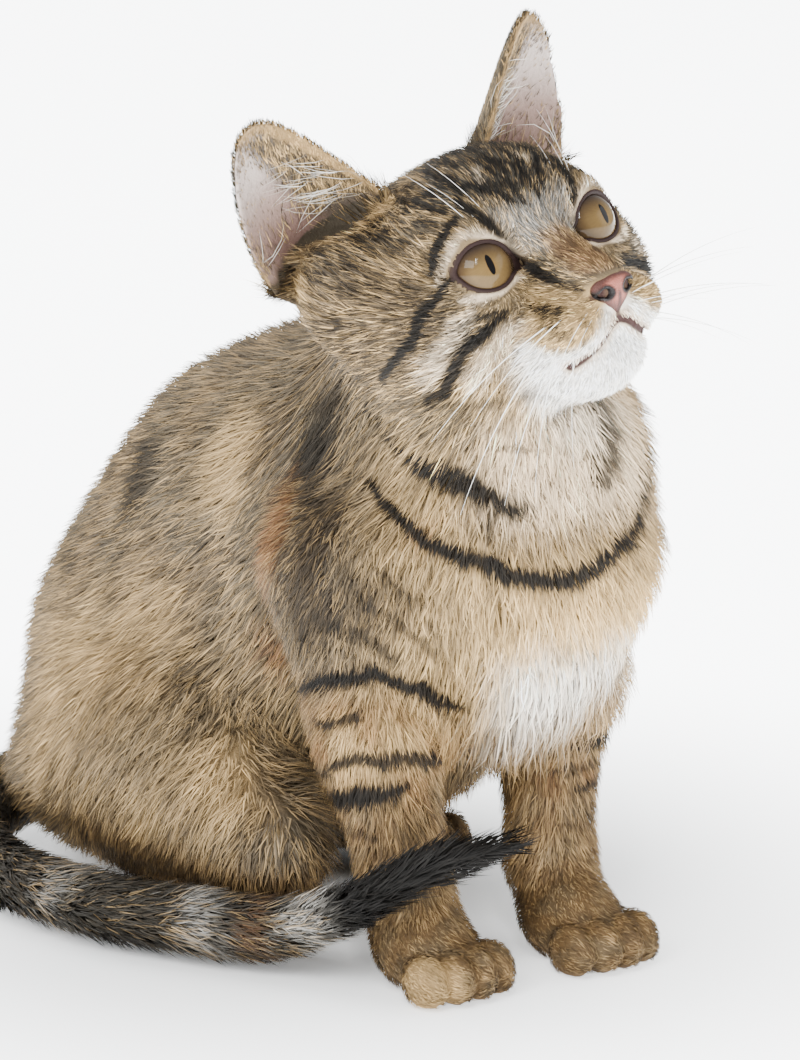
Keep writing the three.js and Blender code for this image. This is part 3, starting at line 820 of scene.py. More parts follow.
def build_eye(side):
    """An eyeball with a bulging cornea; its map measures from the pupil."""
    rows, columns = EYE_ROWS, EYE_COLUMNS
    turn = np.linspace(EYE_POLE, np.pi - EYE_POLE, rows)[:, None]
    round_ = np.linspace(0, 2 * np.pi, columns, endpoint=False)[None, :]
    bulge = CORNEA_RISE * smooth(8.6, 2.0, EYE_RADIUS * np.sin(turn)) * (turn < np.pi / 2)
    radius = EYE_RADIUS - EYE_INSET + bulge
    points = np.stack([
        radius * np.sin(turn) * np.cos(round_),
        radius * np.sin(turn) * np.sin(round_),
        radius * np.cos(turn) + 0 * round_,
    ], -1).reshape(-1, 3)
    flat = np.stack([turn * np.cos(round_), turn * np.sin(round_)], -1).reshape(-1, 2) * EYE_RADIUS
    quads = grid_quads(rows, columns, closed=True)
    caps = end_fans(len(points), columns)
    ends = [0, 0, EYE_RADIUS + CORNEA_RISE - EYE_INSET], [0, 0, -EYE_RADIUS + EYE_INSET]
    points = np.vstack([points, *ends])
    flat = np.vstack([flat, [0, 0], [0, EYE_RADIUS * np.pi]])
    if side > 0:
        quads, caps = quads[:, ::-1], caps[:, ::-1]
    piece = new_mesh(f"eye_{'left' if side > 0 else 'right'}_ball", from_eye(points, side), caps, quads)
    layer = piece.data.uv_layers.new(name="gaze")
    place = flat[corner_vertices(piece.data)] * GAZE_SCALE + 0.5
    layer.data.foreach_set("uv", place.astype(np.float32).ravel())
    return piece


LID_BEND = 8.6  # from the eye's axis; past it a lid leaves the ball and falls back straight
LID_SINKING = ((1.7, -0.35), (2.7, -0.8), (3.4, -1.3))  # last rings: past the edge, and height over the skin
LID_POINTS = 120  # round each ring
LID_DARKNESS = [1, 1, 1, 1, 0.9, 0.4, 0, 0, 0]  # ring by ring


def lid_rings(side, angles):
    """The lids as rings from behind the ball's front, over the dark rim and down under the skin."""
    edge = lid_opening(angles)
    on_ball = np.minimum(edge, 8.2)
    upper = 1 + 0.35 * smooth(-0.2, 0.8, np.sin(angles))

    def ring(radius, raised):
        depth = np.sqrt(np.maximum(EYE_RADIUS**2 - np.minimum(radius, LID_BEND) ** 2, 0))
        depth = depth - np.maximum(radius - LID_BEND, 0) * 0.75
        outward = np.stack([radius * np.cos(angles), radius * np.sin(angles), depth], -1)
        return outward + unit(outward) * raised[:, None]

    thick = upper * 0.75
    rings = [
        ring(on_ball - 0.4, 0 * edge - 0.6),
        ring(on_ball, 0 * edge + 0.12),
        ring(edge - 0.12, thick * 0.55),
        ring(edge + 0.3, thick * 1.0),
        ring(edge + 0.85, thick * 1.05),
    ]
    points = [from_eye(part, side) for part in rings]
    for grown, raised in LID_SINKING:
        part = from_eye(ring(edge + grown, thick), side)
        for _ in range(6):
            here, slope = slope_of(lambda p: FLESH(p, 1), part)
            part = part - slope * (here - raised)[:, None] * 0.8
        points.append(part)
    middle = from_eye(np.zeros((1, 3)), side)
    points.append(mix(points[-1], middle, 0.3))
    return points


def build_lids(side):
    """The lids round one eye, with a dark rim."""
    angles = np.linspace(0, 2 * np.pi, LID_POINTS, endpoint=False)
    rings = lid_rings(side, angles)
    points = np.vstack(rings)
    quads = grid_quads(len(rings), len(angles), closed=True)
    last = len(points) - len(angles)
    around = np.arange(len(angles))
    closing = np.stack([around + last, np.roll(around, -1) + last, np.roll(around, -1), around], -1)
    quads = np.concatenate([quads, closing])
    if side > 0:
        quads = quads[:, ::-1]
    piece = new_mesh(f"eyelids_{'left' if side > 0 else 'right'}", points, None, quads)
    return piece, np.repeat(LID_DARKNESS, len(angles))


def nose_distance(points):
    """The bare leather: the tip of the muzzle within a blunt wedge, with nostrils and a groove."""
    local = into_head(points)
    surface = SKULL(local, 1) - 0.55
    found = -blend(-surface, -nose_wedge(local, 0), 1.6)
    for side in (-1, 1):
        bulge = egg([4.1 * side, -42.6, -14.2], [1.9, 1.6, 1.9], 0)(local, 0)
        found = blend(found, bulge, 1.6)
    found = -blend(-found, nostrils(local), 0.7)
    groove = limb([0, -45.6, -15.2], [0, -42.6, -20.6], [0.25, 0.3], [0, 0])(local, 0)
    found = -blend(-found, groove, 0.7)
    return np.maximum(found, local[:, 1] + 37.5)


NOSE_ROOM, NOSE_CELL = 11, 0.3


def build_nose():
    centre = from_head([0, -42, -15.5])
    volume = Volume(centre - NOSE_ROOM, centre + NOSE_ROOM, NOSE_CELL, reach=2.0)
    volume.fill(nose_distance)
    points, triangles, quads = volume.surface()
    return new_mesh("nose_leather", points, triangles, quads)


# ---- colours and markings


def linear(red, green, blue):
    """A colour given in everyday 0-255 steps, as the linear light that Blender works in."""
    share = np.array([red, green, blue]) / 255
    return np.where(share <= 0.04045, share / 12.92, ((share + 0.055) / 1.055) ** 2.4)


WAVE_COUNT = 14


def waves(points, size, seed):
    """Smooth patches about `size` across, from -1 to 1: a sum of waves in random directions."""
    chance, count = np.random.default_rng(seed), WAVE_COUNT
    turns = unit(chance.normal(size=(count, 3))) * (2 * np.pi / size) * chance.uniform(0.6, 1.5, (count, 1))
    phases = chance.uniform(0, 2 * np.pi, count)
    return np.sin(points @ turns.T + phases).sum(-1) / math.sqrt(count / 2) / 1.6


def tapered(share):
    """How wide a stroke is at a share of its length."""
    return np.clip(4 * share * (1 - share) + 0.25, 0, 1) ** 0.5


STROKE_SOFTNESS = 0.6  # of its width


def stroke(chart, line, width):
    """How much of a stroke along a line of the chart covers each point; its ends taper."""
    line = np.array(line, float)
    best = np.full(len(chart), -9.0)
    total = len(line) - 1
    for i, (start, end) in enumerate(zip(line, line[1:])):
        axis = end - start
        share = np.clip((chart - start) @ axis / (axis @ axis), 0, 1)
        away = np.linalg.norm(chart - start - share[:, None] * axis, axis=1)
        along = (i + share) / total
        best = np.maximum(best, width * tapered(along) - away)
    return smooth(-STROKE_SOFTNESS * width, STROKE_SOFTNESS * width, best)


def head_chart(local):
    """Degrees round the head from the nose, and above its middle."""
    return np.degrees(np.stack([
        np.arctan2(local[:, 0], -local[:, 1]),
        np.arctan2(local[:, 2], np.hypot(local[:, 0], local[:, 1])),
    ], -1))


CHEST_AXIS = (4.0, -8.0)


def body_chart(points):
    """Degrees round the chest from straight ahead, and the height."""
    around = np.arctan2(points[:, 0] - CHEST_AXIS[0], CHEST_AXIS[1] - points[:, 1])
    return np.stack([np.degrees(around), points[:, 2]], -1)


# Dark strokes of the head: points in degrees round and above its middle, half a width, a strength.
HEAD_STROKES = [
    ([[38, 38], [35, 31], [30, 25], [27, 18], [24, 12]], 3.0, 1.0),  # the M over each eye
    ([[36, 45], [31, 42], [21, 38], [15, 32], [9, 24]], 1.8, 1.0),
    ([[9, 47], [9, 41], [6, 34], [6, 28], [5, 22]], 1.8, 1.0),
    ([[60, 8], [55, 13], [51, 19], [46, 24], [40, 27]], 2.7, 1.0),
    ([[64, 72], [42, 55], [37, 47], [33, 40]], 3.0, 0.9),  # over the crown
    ([[18, 82], [14, 62], [12, 50]], 2.3, 0.9),
    ([[42, 82], [31, 66], [25, 54]], 2.3, 0.9),
    ([[3, 84], [2, 68], [1, 54]], 1.8, 0.8),
    ([[49, 4], [55, 2], [61, -1], [66, -5], [72, -10], [77, -14], [88, -18], [100, -21]], 2.9, 1.0),
    ([[36, -18], [45, -21], [54, -22.5], [60, -25], [66, -28], [72, -32], [84, -33]], 3.1, 1.0),  # cheek
    ([[36, -17], [43, -15.5], [52, -14], [60, -14]], 1.1, 0.9),
    ([[30, -11], [40, -12], [48, -10]], 0.8, 0.5),
    ([[27, -22], [34, -24], [42, -26]], 0.7, 0.6),
    ([[29, 10], [24, 5], [20, -1], [17, -6], [15, -11], [12, -15]], 3.0, 1.0),  # from the eye's inner corner
    ([[18.5, -19.5], [21.5, -20], [26, -22]], 1.3, 1.0),  # where the whiskers grow
    ([[20.5, -22.3], [25, -25.5]], 0.8, 0.9),
    ([[19, -26.5], [24, -28.5]], 0.7, 0.8),
    ([[16, -28.5], [18.5, -30]], 0.6, 0.6),
    ([[20, -32.5], [26, -31]], 0.7, 0.7),
    ([[13.5, -24.5], [16, -26]], 0.5, 0.5),
    ([[82, -35], [64, -44], [44, -51], [28, -53]], 1.6, 0.45),  # under the cheek
]
# Pale strokes of the head, laid before the dark ones.
HEAD_LIGHTS = [
    ([[58, 4], [50, 13], [42, 18], [33, 17], [24, 9]], 2.2, 0.55),  # the brow
    ([[53, -5], [44, -9], [33, -8.5], [24, -7]], 2.0, 0.6),  # under the eye
    ([[50, -12], [60, -15], [70, -22], [80, -27]], 3.4, 0.55),
    ([[34, -27], [50, -30], [64, -36]], 5.0, 0.65),
    ([[22, 42], [16, 48]], 2.0, 0.5),
]


def strokes_on(chart, strokes):
    """The strongest of the strokes at each point of a chart."""
    found = np.zeros(len(chart))
    for line, width, strength in strokes:
        found = np.maximum(found, strength * stroke(chart, line, width))
    return found


def head_colours(local, t):
    """The colour at points of the head's frame, by its markings."""
    chart = head_chart(local)
    across, up = np.abs(chart[:, 0]), chart[:, 1]
    wobble = waves(local, 9, 3)
    sided = np.stack([across, up], -1) + wobble[:, None]
    colour = spread(mix(t.tan, t.grey, 0.65) * 0.86, local)
    crown = smooth(22, 42, up + 2 * wobble - 0.1 * (across - 30)) * smooth(150, 95, across)
    colour = lay(colour, mix(t.grey, t.black, 0.55), 0.9 * crown)
    behind = smooth(50, 66, across) * smooth(30, 12, up) * smooth(-40, -15, up)
    colour = lay(colour, mix(t.tan, t.gold, 0.6), 0.45 * behind)
    front = smooth(34, 16, across) * smooth(-4, 6, up) * smooth(30, 20, up)
    colour = lay(colour, mix(t.grey, t.white, 0.3), 0.6 * front)
    ring = smooth(16, 12.5, eye_distance(local))
    colour = lay(colour, mix(t.cream, t.tan, 0.5), 0.3 * ring)
    bridge = smooth(11, 6, across) * smooth(-15, -10, up) * smooth(12, 4, up)
    colour = lay(colour, mix(t.orange, t.tan, 0.45), 0.8 * bridge)
    muzzle = smooth(32, 20, across) * smooth(-13, -18, up)
    colour = lay(colour, mix(t.cream, t.tan, 0.45), 0.75 * muzzle)
    cheek = smooth(86, 50, across) * smooth(-20, -30, up)
    colour = lay(colour, mix(t.cream, t.tan, 0.4), 0.6 * cheek)
    chin = smooth(56, 30, across) * smooth(-26, -33, up + 0.14 * across)
    colour = lay(colour, t.white, 0.97 * chin)
    lips = lips_distance(local)
    colour = lay(colour, t.white, 0.6 * smooth(7, 4, lips) * smooth(30, 16, across))
    colour = lay(colour, mix(t.cream, t.nose, 0.4), 0.55 * smooth(3.6, 1.2, lips))
    colour = lay(colour, mix(t.cream, t.white, 0.4), strokes_on(sided, HEAD_LIGHTS))
    return colour


def head_marks(local):
    """How dark the head's markings are."""
    chart = head_chart(local)
    wobble = waves(local, 9, 3)[:, None]
    dark = strokes_on(np.stack([np.abs(chart[:, 0]), chart[:, 1]], -1) + wobble, HEAD_STROKES)
    return np.maximum(dark, 0.8 * smooth(1.5, 0.7, lips_distance(local)))


def lips_distance(local):
    """How far points of the head's frame are from the lips' line, up to 12 mm."""
    found = np.full(len(local), 12.0)
    near = (local[:, 1] < -22) & (local[:, 2] < -12)
    found[near] = np.minimum(distance_to_line(local[near], MOUTH_LINE), 12)
    return found


def eye_distance(local):
    return np.minimum(*[np.linalg.norm(local - mirrored(EYE_CENTRE, side), axis=1) for side in (-1, 1)])


WHISKER_ROWS = [  # along each pad: start, end (head's frame, left side) and count
    [[5.5, -42.5, -17.6], [15.5, -33.5, -17.0], 4],
    [[5.6, -42.3, -20.0], [16.5, -32.5, -20.5], 5],
    [[6.4, -41.2, -22.4], [15.5, -32.5, -24.0], 4],
]


def whisker_roots(side):
    """Where the whiskers of one side grow, on the skin, in the head's frame."""
    found = []
    for start, end, count in WHISKER_ROWS:
        for share in np.linspace(0, 1, count):
            point = mix(np.array(start), np.array(end), share) + [0, 0, -1.2 * math.sin(math.pi * share)]
            found.append(mirrored(point, side))
    return on_skull(np.array(found, float))


# Dark strokes of neck, chest and forelegs: degrees round the chest and height, half a width, a strength.
BODY_STROKES = [
    # the upper and the lower necklace, each with the small strokes beside it
    ([[-58, 142], [-48, 135], [-40, 130.5], [-33, 127], [-26, 124], [-19, 120.5], [-12, 118]], 3.6, 1.0),
    ([[-29, 133], [-18, 133], [-8, 131]], 0.9, 0.7),
    ([[-17, 121], [-19, 115], [-20, 110]], 1.0, 0.8),
    ([[12, 144], [13, 133], [11, 126], [7, 121]], 3.2, 0.9),
    ([[-52, 121], [-44, 115], [-37, 111], [-28, 107.5], [-18, 104.5], [-8, 100], [-2, 100.5], [4, 104],
      [13, 107], [20, 112], [26, 120], [34, 131], [46, 138]], 2.5, 1.0),
    ([[-47, 103], [-40, 97], [-34, 94]], 1.1, 0.6),
    ([[-56, 98], [-48, 93], [-42, 90]], 1.5, 0.6),
    ([[-44, 92], [-36, 86], [-30, 81]], 1.4, 0.6),
    ([[-60, 87], [-50, 84], [-40, 80]], 1.8, 0.7),
    ([[-34, 92], [-30, 87]], 0.9, 0.5),
    ([[-16, 92], [-14, 86]], 0.9, 0.35),
    ([[-3, 84], [0, 77]], 1.1, 0.4),
    ([[8, 80], [9, 75]], 1.0, 0.35),
    ([[-76, 68], [-64, 72], [-52, 76], [-44, 76], [-37, 73], [-28, 69], [-22, 67]], 2.3, 1.0),
    ([[-30, 68], [-25, 62]], 1.0, 0.5),
    ([[60, 76], [50, 78], [38, 74], [28, 68]], 1.8, 0.8),
]
# Patches of one side: the middle (in the kitten's frame), the reach, a strength, a colour.
BODY_PATCHES = [
    [[-42, 14, 120], [10, 9, 16], 0.35, "cream"],
    [[-46, 36, 76], [12, 12, 16], 0.3, "cream"],
    [[-58, 62, 52], [13, 22, 26], 0.25, "cream"],
    [[-52, -2, 40], [12, 16, 12], 0.35, "cream"],
    [[-52, 30, 28], [12, 24, 12], 0.25, "cream"],
    [[-62, 38, 62], [12, 16, 12], 0.3, "gold"],
    [[-37, -17, 129], [13, 8, 20], 0.8, "black"],
    [[-43, -27, 110], [10, 8, 18], 0.85, "brown"],
    [[-46, -28, 90], [10, 11, 14], 0.9, "brown"],
    [[-36, -46, 92], [8, 9, 9], 0.7, "brown"],
    [[-48, -13, 106], [10, 6, 13], 0.75, "orange"],
    [[-45, -6, 88], [9, 6, 14], 0.8, "orange"],
    [[-40, 1, 71], [9, 6, 9], 0.8, "orange"],
    [[-49, 27, 86], [9, 5, 14], 0.7, "brown"],
    [[-51, 18, 70], [9, 6, 11], 0.75, "brown"],
    [[-54, 9, 58], [9, 5, 8], 0.6, "brown"],
    [[-46, 51, 109], [10, 8, 13], 0.8, "black"],
    [[-50, 75, 85], [8, 9, 9], 0.6, "black"],
    [[-60, 88, 44], [9, 8, 18], 0.6, "black"],
    [[-31, -57, 109], [5, 5, 2.6], 1.0, "orange"],
    [[-44, -36, 64], [8, 7, 4], 1.0, "orange"],
    [[-43, -38, 55], [7, 7, 3], 0.8, "orange"],
]
LEG_STROKES = [
    ([[-64, 63], [-56, 64], [-50, 66]], 1.6, 0.9),
    ([[-60, 52], [-50, 56.5], [-38, 56], [-24, 52]], 1.7, 0.95),
    ([[-78, 38], [-62, 42], [-50, 46], [-38, 49]], 2.8, 1.0),
    ([[-76, 46], [-66, 49], [-58, 50]], 1.4, 0.8),
    ([[-76, 33], [-58, 37], [-46, 36]], 1.5, 0.6),
    ([[8, 49], [24, 51], [42, 50], [60, 46]], 2.3, 1.0),
    ([[14, 44], [30, 45], [50, 43]], 1.2, 0.7),
    ([[22, 39], [38, 40], [60, 37]], 1.6, 0.85),
    ([[14, 31], [34, 32], [50, 30]], 1.1, 0.4),
]
SPINE = [[[2, 60, 132], [11, 60, 16]], [[0, 95, 80], [13, 14, 44]]]  # dark along the back: middles, reaches


def body_colours(points, t):
    """The colour at points of the neck, trunk and haunches."""
    chart = body_chart(points)
    across, height = chart[:, 0], chart[:, 1]
    soft = waves(points, 26, 5)
    fine = waves(points * [1, 1, 0.5], 7, 8)
    colour = spread(mix(t.tan, t.grey, 0.5), points)
    colour = lay(colour, t.gold, 0.3 * smooth(-0.2, 0.9, soft))
    colour = lay(colour, t.brown, 0.3 * smooth(0.1, 1.0, waves(points, 34, 21)))
    front = smooth(80, 40, np.abs(across - 6)) * smooth(20, -25, points[:, 1])
    colour = lay(colour, mix(t.tan, t.cream, 0.3), 0.85 * front)
    middle = smooth(42, 18, np.abs(across - 12)) * smooth(104, 88, height + 5 * fine) * front
    colour = lay(colour, t.cream, 0.75 * middle)
    bib = smooth(34, 16, np.abs(across - 10)) * smooth(84, 70, height + 4 * fine) * front
    colour = lay(colour, t.white, 0.7 * bib)
    throat = smooth(34, 14, np.abs(across - 3)) * smooth(106, 118, height) * front
    colour = lay(colour, mix(t.cream, t.white, 0.3), 0.8 * throat)
    haunch = smooth(-20, 10, points[:, 1]) * smooth(95, 65, height)
    colour = lay(colour, mix(t.tan, t.cream, 0.15), 0.4 * haunch * (1 - 0.5 * soft))
    fore = smooth(12, -8, points[:, 1]) * smooth(40, 62, np.abs(across - 4)) * smooth(64, 76, height)
    colour = lay(colour, mix(t.grey, t.brown, 0.5), 0.55 * fore)
    belly = smooth(60, 30, height) * smooth(26, 8, np.abs(points[:, 0])) * smooth(40, 0, points[:, 1])
    colour = lay(colour, t.cream, 0.6 * belly)
    rough = 0.28 * fine + 0.2 * soft
    for centre, reach, strength, tint in BODY_PATCHES:
        sided = np.where(points[:, :1] > 2, [4, 0, 0] + points * [-1, 1, 1], points)
        away = np.linalg.norm((sided - centre) / reach, axis=1) + rough
        colour = lay(colour, getattr(t, tint), strength * smooth(1.35, 0.5, away))
    for centre, reach in SPINE:
        away = np.linalg.norm((points - centre) / reach, axis=1) + rough
        colour = lay(colour, t.black, 0.7 * smooth(1.3, 0.6, away))
    bars = smooth(0.3, 0.95, np.sin((points[:, 1] * 0.9 - points[:, 2] * 0.35) / 3.6 + 1.8 * soft))
    side = smooth(22, 38, np.abs(points[:, 0])) * smooth(-5, 25, points[:, 1])
    colour = lay(colour, t.brown, 0.3 * bars * side * smooth(40, 80, height))
    return colour


def body_marks(points):
    """How dark the markings of neck, chest and forelegs are."""
    return strokes_on(body_chart(points) + 1.3 * waves(points, 7, 8)[:, None], BODY_STROKES + LEG_STROKES)


PALE_TOE = np.array([-42, -76, 6])  # the cream outer toe of the right forepaw


def leg_colours(points, t):
    """Golden tan, paler in front and on the outer toe."""
    height = points[:, 2]
    fine = waves(points, 8, 31)
    colour = mix(spread(t.gold, points), t.tan, smooth(-0.4, 1, fine)[:, None] * 0.7)
    front = smooth(-30, -44, points[:, 1]) * smooth(40, 56, height)
    colour = lay(colour, mix(t.cream, t.tan, 0.35), 0.55 * front)
    glow = smooth(0.0, 0.9, waves(points, 14, 61)) * smooth(96, 74, height) * smooth(30, 44, height)
    colour = lay(colour, t.orange, 0.5 * glow)
    toes = smooth(16, 9, height) * smooth(0.2, 0.8, waves(points, 10, 77) + 0.4)
    colour = lay(colour, mix(t.black, t.brown, 0.6), 0.25 * toes)
    pale = smooth(13, 9, np.linalg.norm(points - PALE_TOE, axis=1))
    return lay(colour, mix(t.cream, t.tan, 0.4), 0.7 * pale)


TAIL_RINGS = [  # share of the tail's length, width, colour, strength
    (0.68, 0.02, "pale", 0.55), (0.80, 0.026, "pale", 0.6), (0.735, 0.012, "orange", 0.4),
    (0.52, 0.02, "pale", 0.3), (0.36, 0.02, "grey", 0.5), (0.2, 0.025, "tan", 0.5), (0.08, 0.03, "tan", 0.6),
]


def tail_colours(points, share, t):
    """Dark grey and black with light flecks, broken pale rings and a black tip."""
    fine = waves(points, 5, 71)
    base = spread(mix(t.black, t.grey, 0.25), points)
    colour = lay(base, t.grey, 0.65 * smooth(0.1, 0.9, fine))
    rough = share + 0.01 * fine
    tints = {"pale": mix(t.grey, t.white, 0.4), "orange": t.orange, "grey": t.grey, "tan": t.tan}
    broken = smooth(-0.9, 0.3, waves(points, 7, 72))
    for middle, wide, tint, strength in TAIL_RINGS:
        ring = smooth(wide * 1.4, wide * 0.4, np.abs(rough - middle))
        colour = lay(colour, tints[tint], strength * broken * ring)
    return lay(colour, t.black, 0.95 * smooth(0.82, 0.85, rough))


# ---- what part of the body a point is on


EAR_SKIN = (176, 162, 154), (132, 110, 101), (104, 82, 74)  # pale high in the hollow; lower down and in its depth darker, as painted shade in the recess


class Places:
    """For points on the skin: the parts they lie on, the lie of the coat and its colour."""

    def __init__(self, points, normals):
        self.points, self.normals = points, normals
        self.local = into_head(points)
        outside = FLESH(points, 1)
        self.depth = -FLESH(points, 0)
        self.tail_share, tail_away, self.tail_along = along_tail(points)
        self.lid_gap, self.off_eye = self.beside_eyes()
        ears = [ear_place(self.local, side) for side in (-1, 1)]
        self.ear_side = np.where(self.local[:, 0] > 0, 1, -1)
        left = self.ear_side > 0
        self.ear_v, self.ear_u, self.ear_height = [np.where(left, b, a) for a, b in zip(*ears)]
        self.on_ear = (outside > 0.9) & (self.local[:, 2] > 5) & (self.ear_v > 0.05)
        tail_reach = TAIL_RADII[(self.tail_share * TAIL_STEPS).astype(int)] + 2
        self.on_tail = (tail_away < tail_reach) & (outside > 0.9) & ~self.on_ear
        distances = {
            "head": head(points, 1),
            "trunk": np.minimum(TRUNK(points, 1), NECK_ALONE(points, 1)),
            "foreleg_right": FORELEGS[-1](points, 1),
            "foreleg_left": FORELEGS[1](points, 1),
            "hindleg_right": HINDLEGS[-1](points, 1),
            "hindleg_left": HINDLEGS[1](points, 1),
        }
        names = list(distances)
        stack = np.stack([distances[name] for name in names], -1)
        share = np.exp(-np.maximum(stack - stack.min(1, keepdims=True), 0) / 3.5)
        share /= share.sum(1, keepdims=True)
        self.share = dict(zip(names, share.T))
        self.forelegs = self.share["foreleg_right"] + self.share["foreleg_left"]
        self.hindlegs = self.share["hindleg_right"] + self.share["hindleg_left"]
        self.part = np.array(names, object)[stack.argmin(1)]
        self.part[self.on_ear] = "ear"
        self.part[self.on_tail] = "tail"

    def beside_eyes(self):
        """How far each point is outside the nearer eye's lids, and the way straight off that eye."""
        gap, off = np.full(len(self.points), 99.0), np.zeros((len(self.points), 3))
        for side in (-1, 1):
            across, up, front = np.moveaxis(into_eye(self.local, side), -1, 0)
            edge = np.hypot(across, up) - lid_opening(np.arctan2(up, across))
            nearer = (front > 0) & (edge < gap)
            gap[nearer] = edge[nearer]
            own = unit(np.stack([side * across, 0 * up, up], -1)[nearer])
            off[nearer] = own @ eye_turn(side).T @ HEAD_TURN.T
        return gap, off

    def beside_ears(self):
        """1 on the head right before an ear, falling to 0 away from it."""
        near = smooth(-0.5, -0.1, self.ear_v) * smooth(1.6, 1.1, np.abs(self.ear_u)) * self.share["head"]
        return near * smooth(0, 3, self.ear_height)

    def before_ears(self):
        """1 on the head in the fold before an ear's foot."""
        near = smooth(-0.3, -0.1, self.ear_v) * smooth(1.5, 1.2, np.abs(self.ear_u)) * ~self.on_ear
        return near * smooth(-3, 0, self.ear_height) * smooth(14, 8, self.ear_height)

    def lie(self):
        """The direction in which the coat lies, along the skin."""
        local, points = self.local, self.points
        face = unit(local - [0, -44, -16]) + [0, 0.25, 0]
        back = smooth(-25, 25, points[:, 1])[:, None]
        side = np.sign(points[:, :1]) * smooth(6, 40, np.abs(points[:, :1]))
        down = mix(np.array([0.0, -0.05, -1]), np.array([0, 0.75, -0.75]), back) + side * [0.25, 0, 0]
        low = smooth(24, 10, points[:, 2])[:, None]
        leg = mix(np.array([0, 0.05, -1.0]), np.array([0, -1, -0.25]), low)
        thigh = mix(np.array([0, 0.12, -1.0]), np.array([0, -1, -0.2]), low)
        flow = (
            self.share["head"][:, None] * (unit(face) @ HEAD_TURN.T)
            + self.share["trunk"][:, None] * unit(down)
            + self.forelegs[:, None] * unit(leg)
            + self.hindlegs[:, None] * unit(thigh)
        )
        for s in (-1, 1):
            _, along, across, opening = ear_frame(s)
            chosen = ~self.on_ear & (self.ear_side == s)
            flow[chosen] += (1.2 * self.beside_ears()[chosen, None]) * (unit(along) @ HEAD_TURN.T)
            flow[chosen] += (1.0 * self.before_ears()[chosen, None]) * (opening @ HEAD_TURN.T)
            chosen = self.on_ear & (self.ear_side == s)
            spread = unit(along) + 0.5 * np.clip(self.ear_u[chosen, None], -1, 1) * unit(across)
            flow[chosen] = spread @ HEAD_TURN.T
        flow[self.on_tail] = self.tail_along[self.on_tail]
        swirl = np.stack([waves(self.points, 30, 90 + i) for i in range(3)], -1)
        flow = unit(flow) + 0.16 * swirl
        against = np.maximum(-(flow * self.off_eye).sum(1), 0)
        flow += (smooth(9, 2, self.lid_gap) * (0.5 + 1.4 * against))[:, None] * self.off_eye
        flow -= (flow * self.normals).sum(1, keepdims=True) * self.normals
        return unit(flow)

    def colours(self, t, marked=True):
        """The coat's colour, with or without the dark strokes on it."""
        found = np.zeros((len(self.points), 3))
        shoulder = smooth(60, 78, self.points[:, 2]) * self.forelegs
        trunk = self.share["trunk"] + self.share["hindleg_right"] + self.share["hindleg_left"] + shoulder
        # on the skin the fold before each ear is painted a darker grey-brown, as painted shade in the
        # crease; on the coat the same fold is laid a paler grey-cream
        fold = mix(t.grey, t.brown, 0.6) if marked else mix(t.grey, t.cream, 0.6)
        for share, places_of, paint_one, marks in (
            (self.share["head"], self.local, head_colours, head_marks),
            (trunk, self.points, body_colours, body_marks),
            (self.forelegs - shoulder, self.points, leg_colours, body_marks),
        ):
            chosen = share > 0.01
            colour = paint_one(places_of[chosen], t)
            if marked:
                colour = lay(colour, t.black, 0.95 * marks(places_of[chosen]))
            found[chosen] += share[chosen, None] * colour
        found = lay(found, fold, 0.6 * self.before_ears())
        feet = smooth(26, 16, self.points[:, 2]) * self.hindlegs
        low = feet > 0
        found[low] = mix(found[low], leg_colours(self.points[low], t), feet[low, None])
        found[self.on_tail] = tail_colours(self.points[self.on_tail], self.tail_share[self.on_tail], t)
        found[self.on_ear] = self.ear_colours(t)[self.on_ear]
        return np.clip(found, 0, 1)

    def ear_inside(self):
        """1 within the ear's hollow, 0 on its back."""
        found = np.zeros(len(self.points))
        for s in (-1, 1):
            opening = ear_frame(s)[3] @ HEAD_TURN.T
            chosen = self.on_ear & (self.ear_side == s)
            found[chosen] = smooth(-0.1, 0.25, self.normals[chosen] @ opening)
        return found

    def ear_rim(self):
        """1 along the rim of an ear, 0 away from it."""
        return smooth(0.88, 0.96, np.maximum(np.maximum(self.ear_u, -0.96 * self.ear_u), self.ear_v))

    def ear_colours(self, t):
        """Dark-tipped backs; hollows bare and pale above, darkened lower down and in their depth as painted
        shade, with golden rims.
        """
        v, u = self.ear_v, self.ear_u
        back = lay(spread(mix(t.tan, t.grey, 0.5), v), t.black, 0.75 * smooth(0.4, 0.9, v))
        pale, painted_shade_low, painted_shade_deep = [linear(*tint) for tint in EAR_SKIN]
        # lower in the hollow and in its depth the bare skin is darkened as painted shade
        bare = lay(spread(pale, v), painted_shade_low, smooth(0.75, 0.35, v))
        bare = lay(bare, painted_shade_deep, smooth(0.4, 0.15, v) * smooth(1.0, 0.4, np.abs(u)))
        medial = smooth(0.0, -0.5, u) * smooth(1.0, 0.8, v)
        bare = lay(bare, mix(t.grey, t.brown, 0.6), 0.9 * medial)
        bare = lay(bare, mix(t.gold, t.cream, 0.3), 0.85 * self.ear_rim())
        return lay(back, bare, self.ear_inside())

    def ear_fur(self, t, chance):
        """The colours of the short hair on the ears."""
        inside = self.ear_inside() > 0.5
        pale = 0.8 * chance.random((len(inside), 1)) ** 3
        fur = mix(spread(mix(t.grey, t.brown, 0.6), inside), t.cream, pale)
        fur = lay(fur, mix(t.gold, t.cream, 0.35), self.ear_rim())
        fur = lay(fur, t.brown, 0.8 * smooth(0.93, 1.0, self.ear_v))
        return np.where(inside[:, None], fur, self.ear_colours(t))


NECK_ALONE = joined(NECK)


# ---- tufts

TUFT_SHARES = {1: [0, 0.4, 1], 2: [0, 0.3, 0.65, 1]}  # root, rings and tip along a tuft, by its rings
ROUNDNESS = 0.45  # how far a tuft's shading turns from the skin's below it
ROOT_DEPTH, FLOOR_GAP = 0.4, 0.3  # millimetres below the skin, and above the floor
TUFT_MAP = 0.003  # size of a tuft's own patch in the coat's map


def risen(share):
    """How much of its rise a tuft has at a share of its length."""
    return 1 - (1 - share) ** 1.6


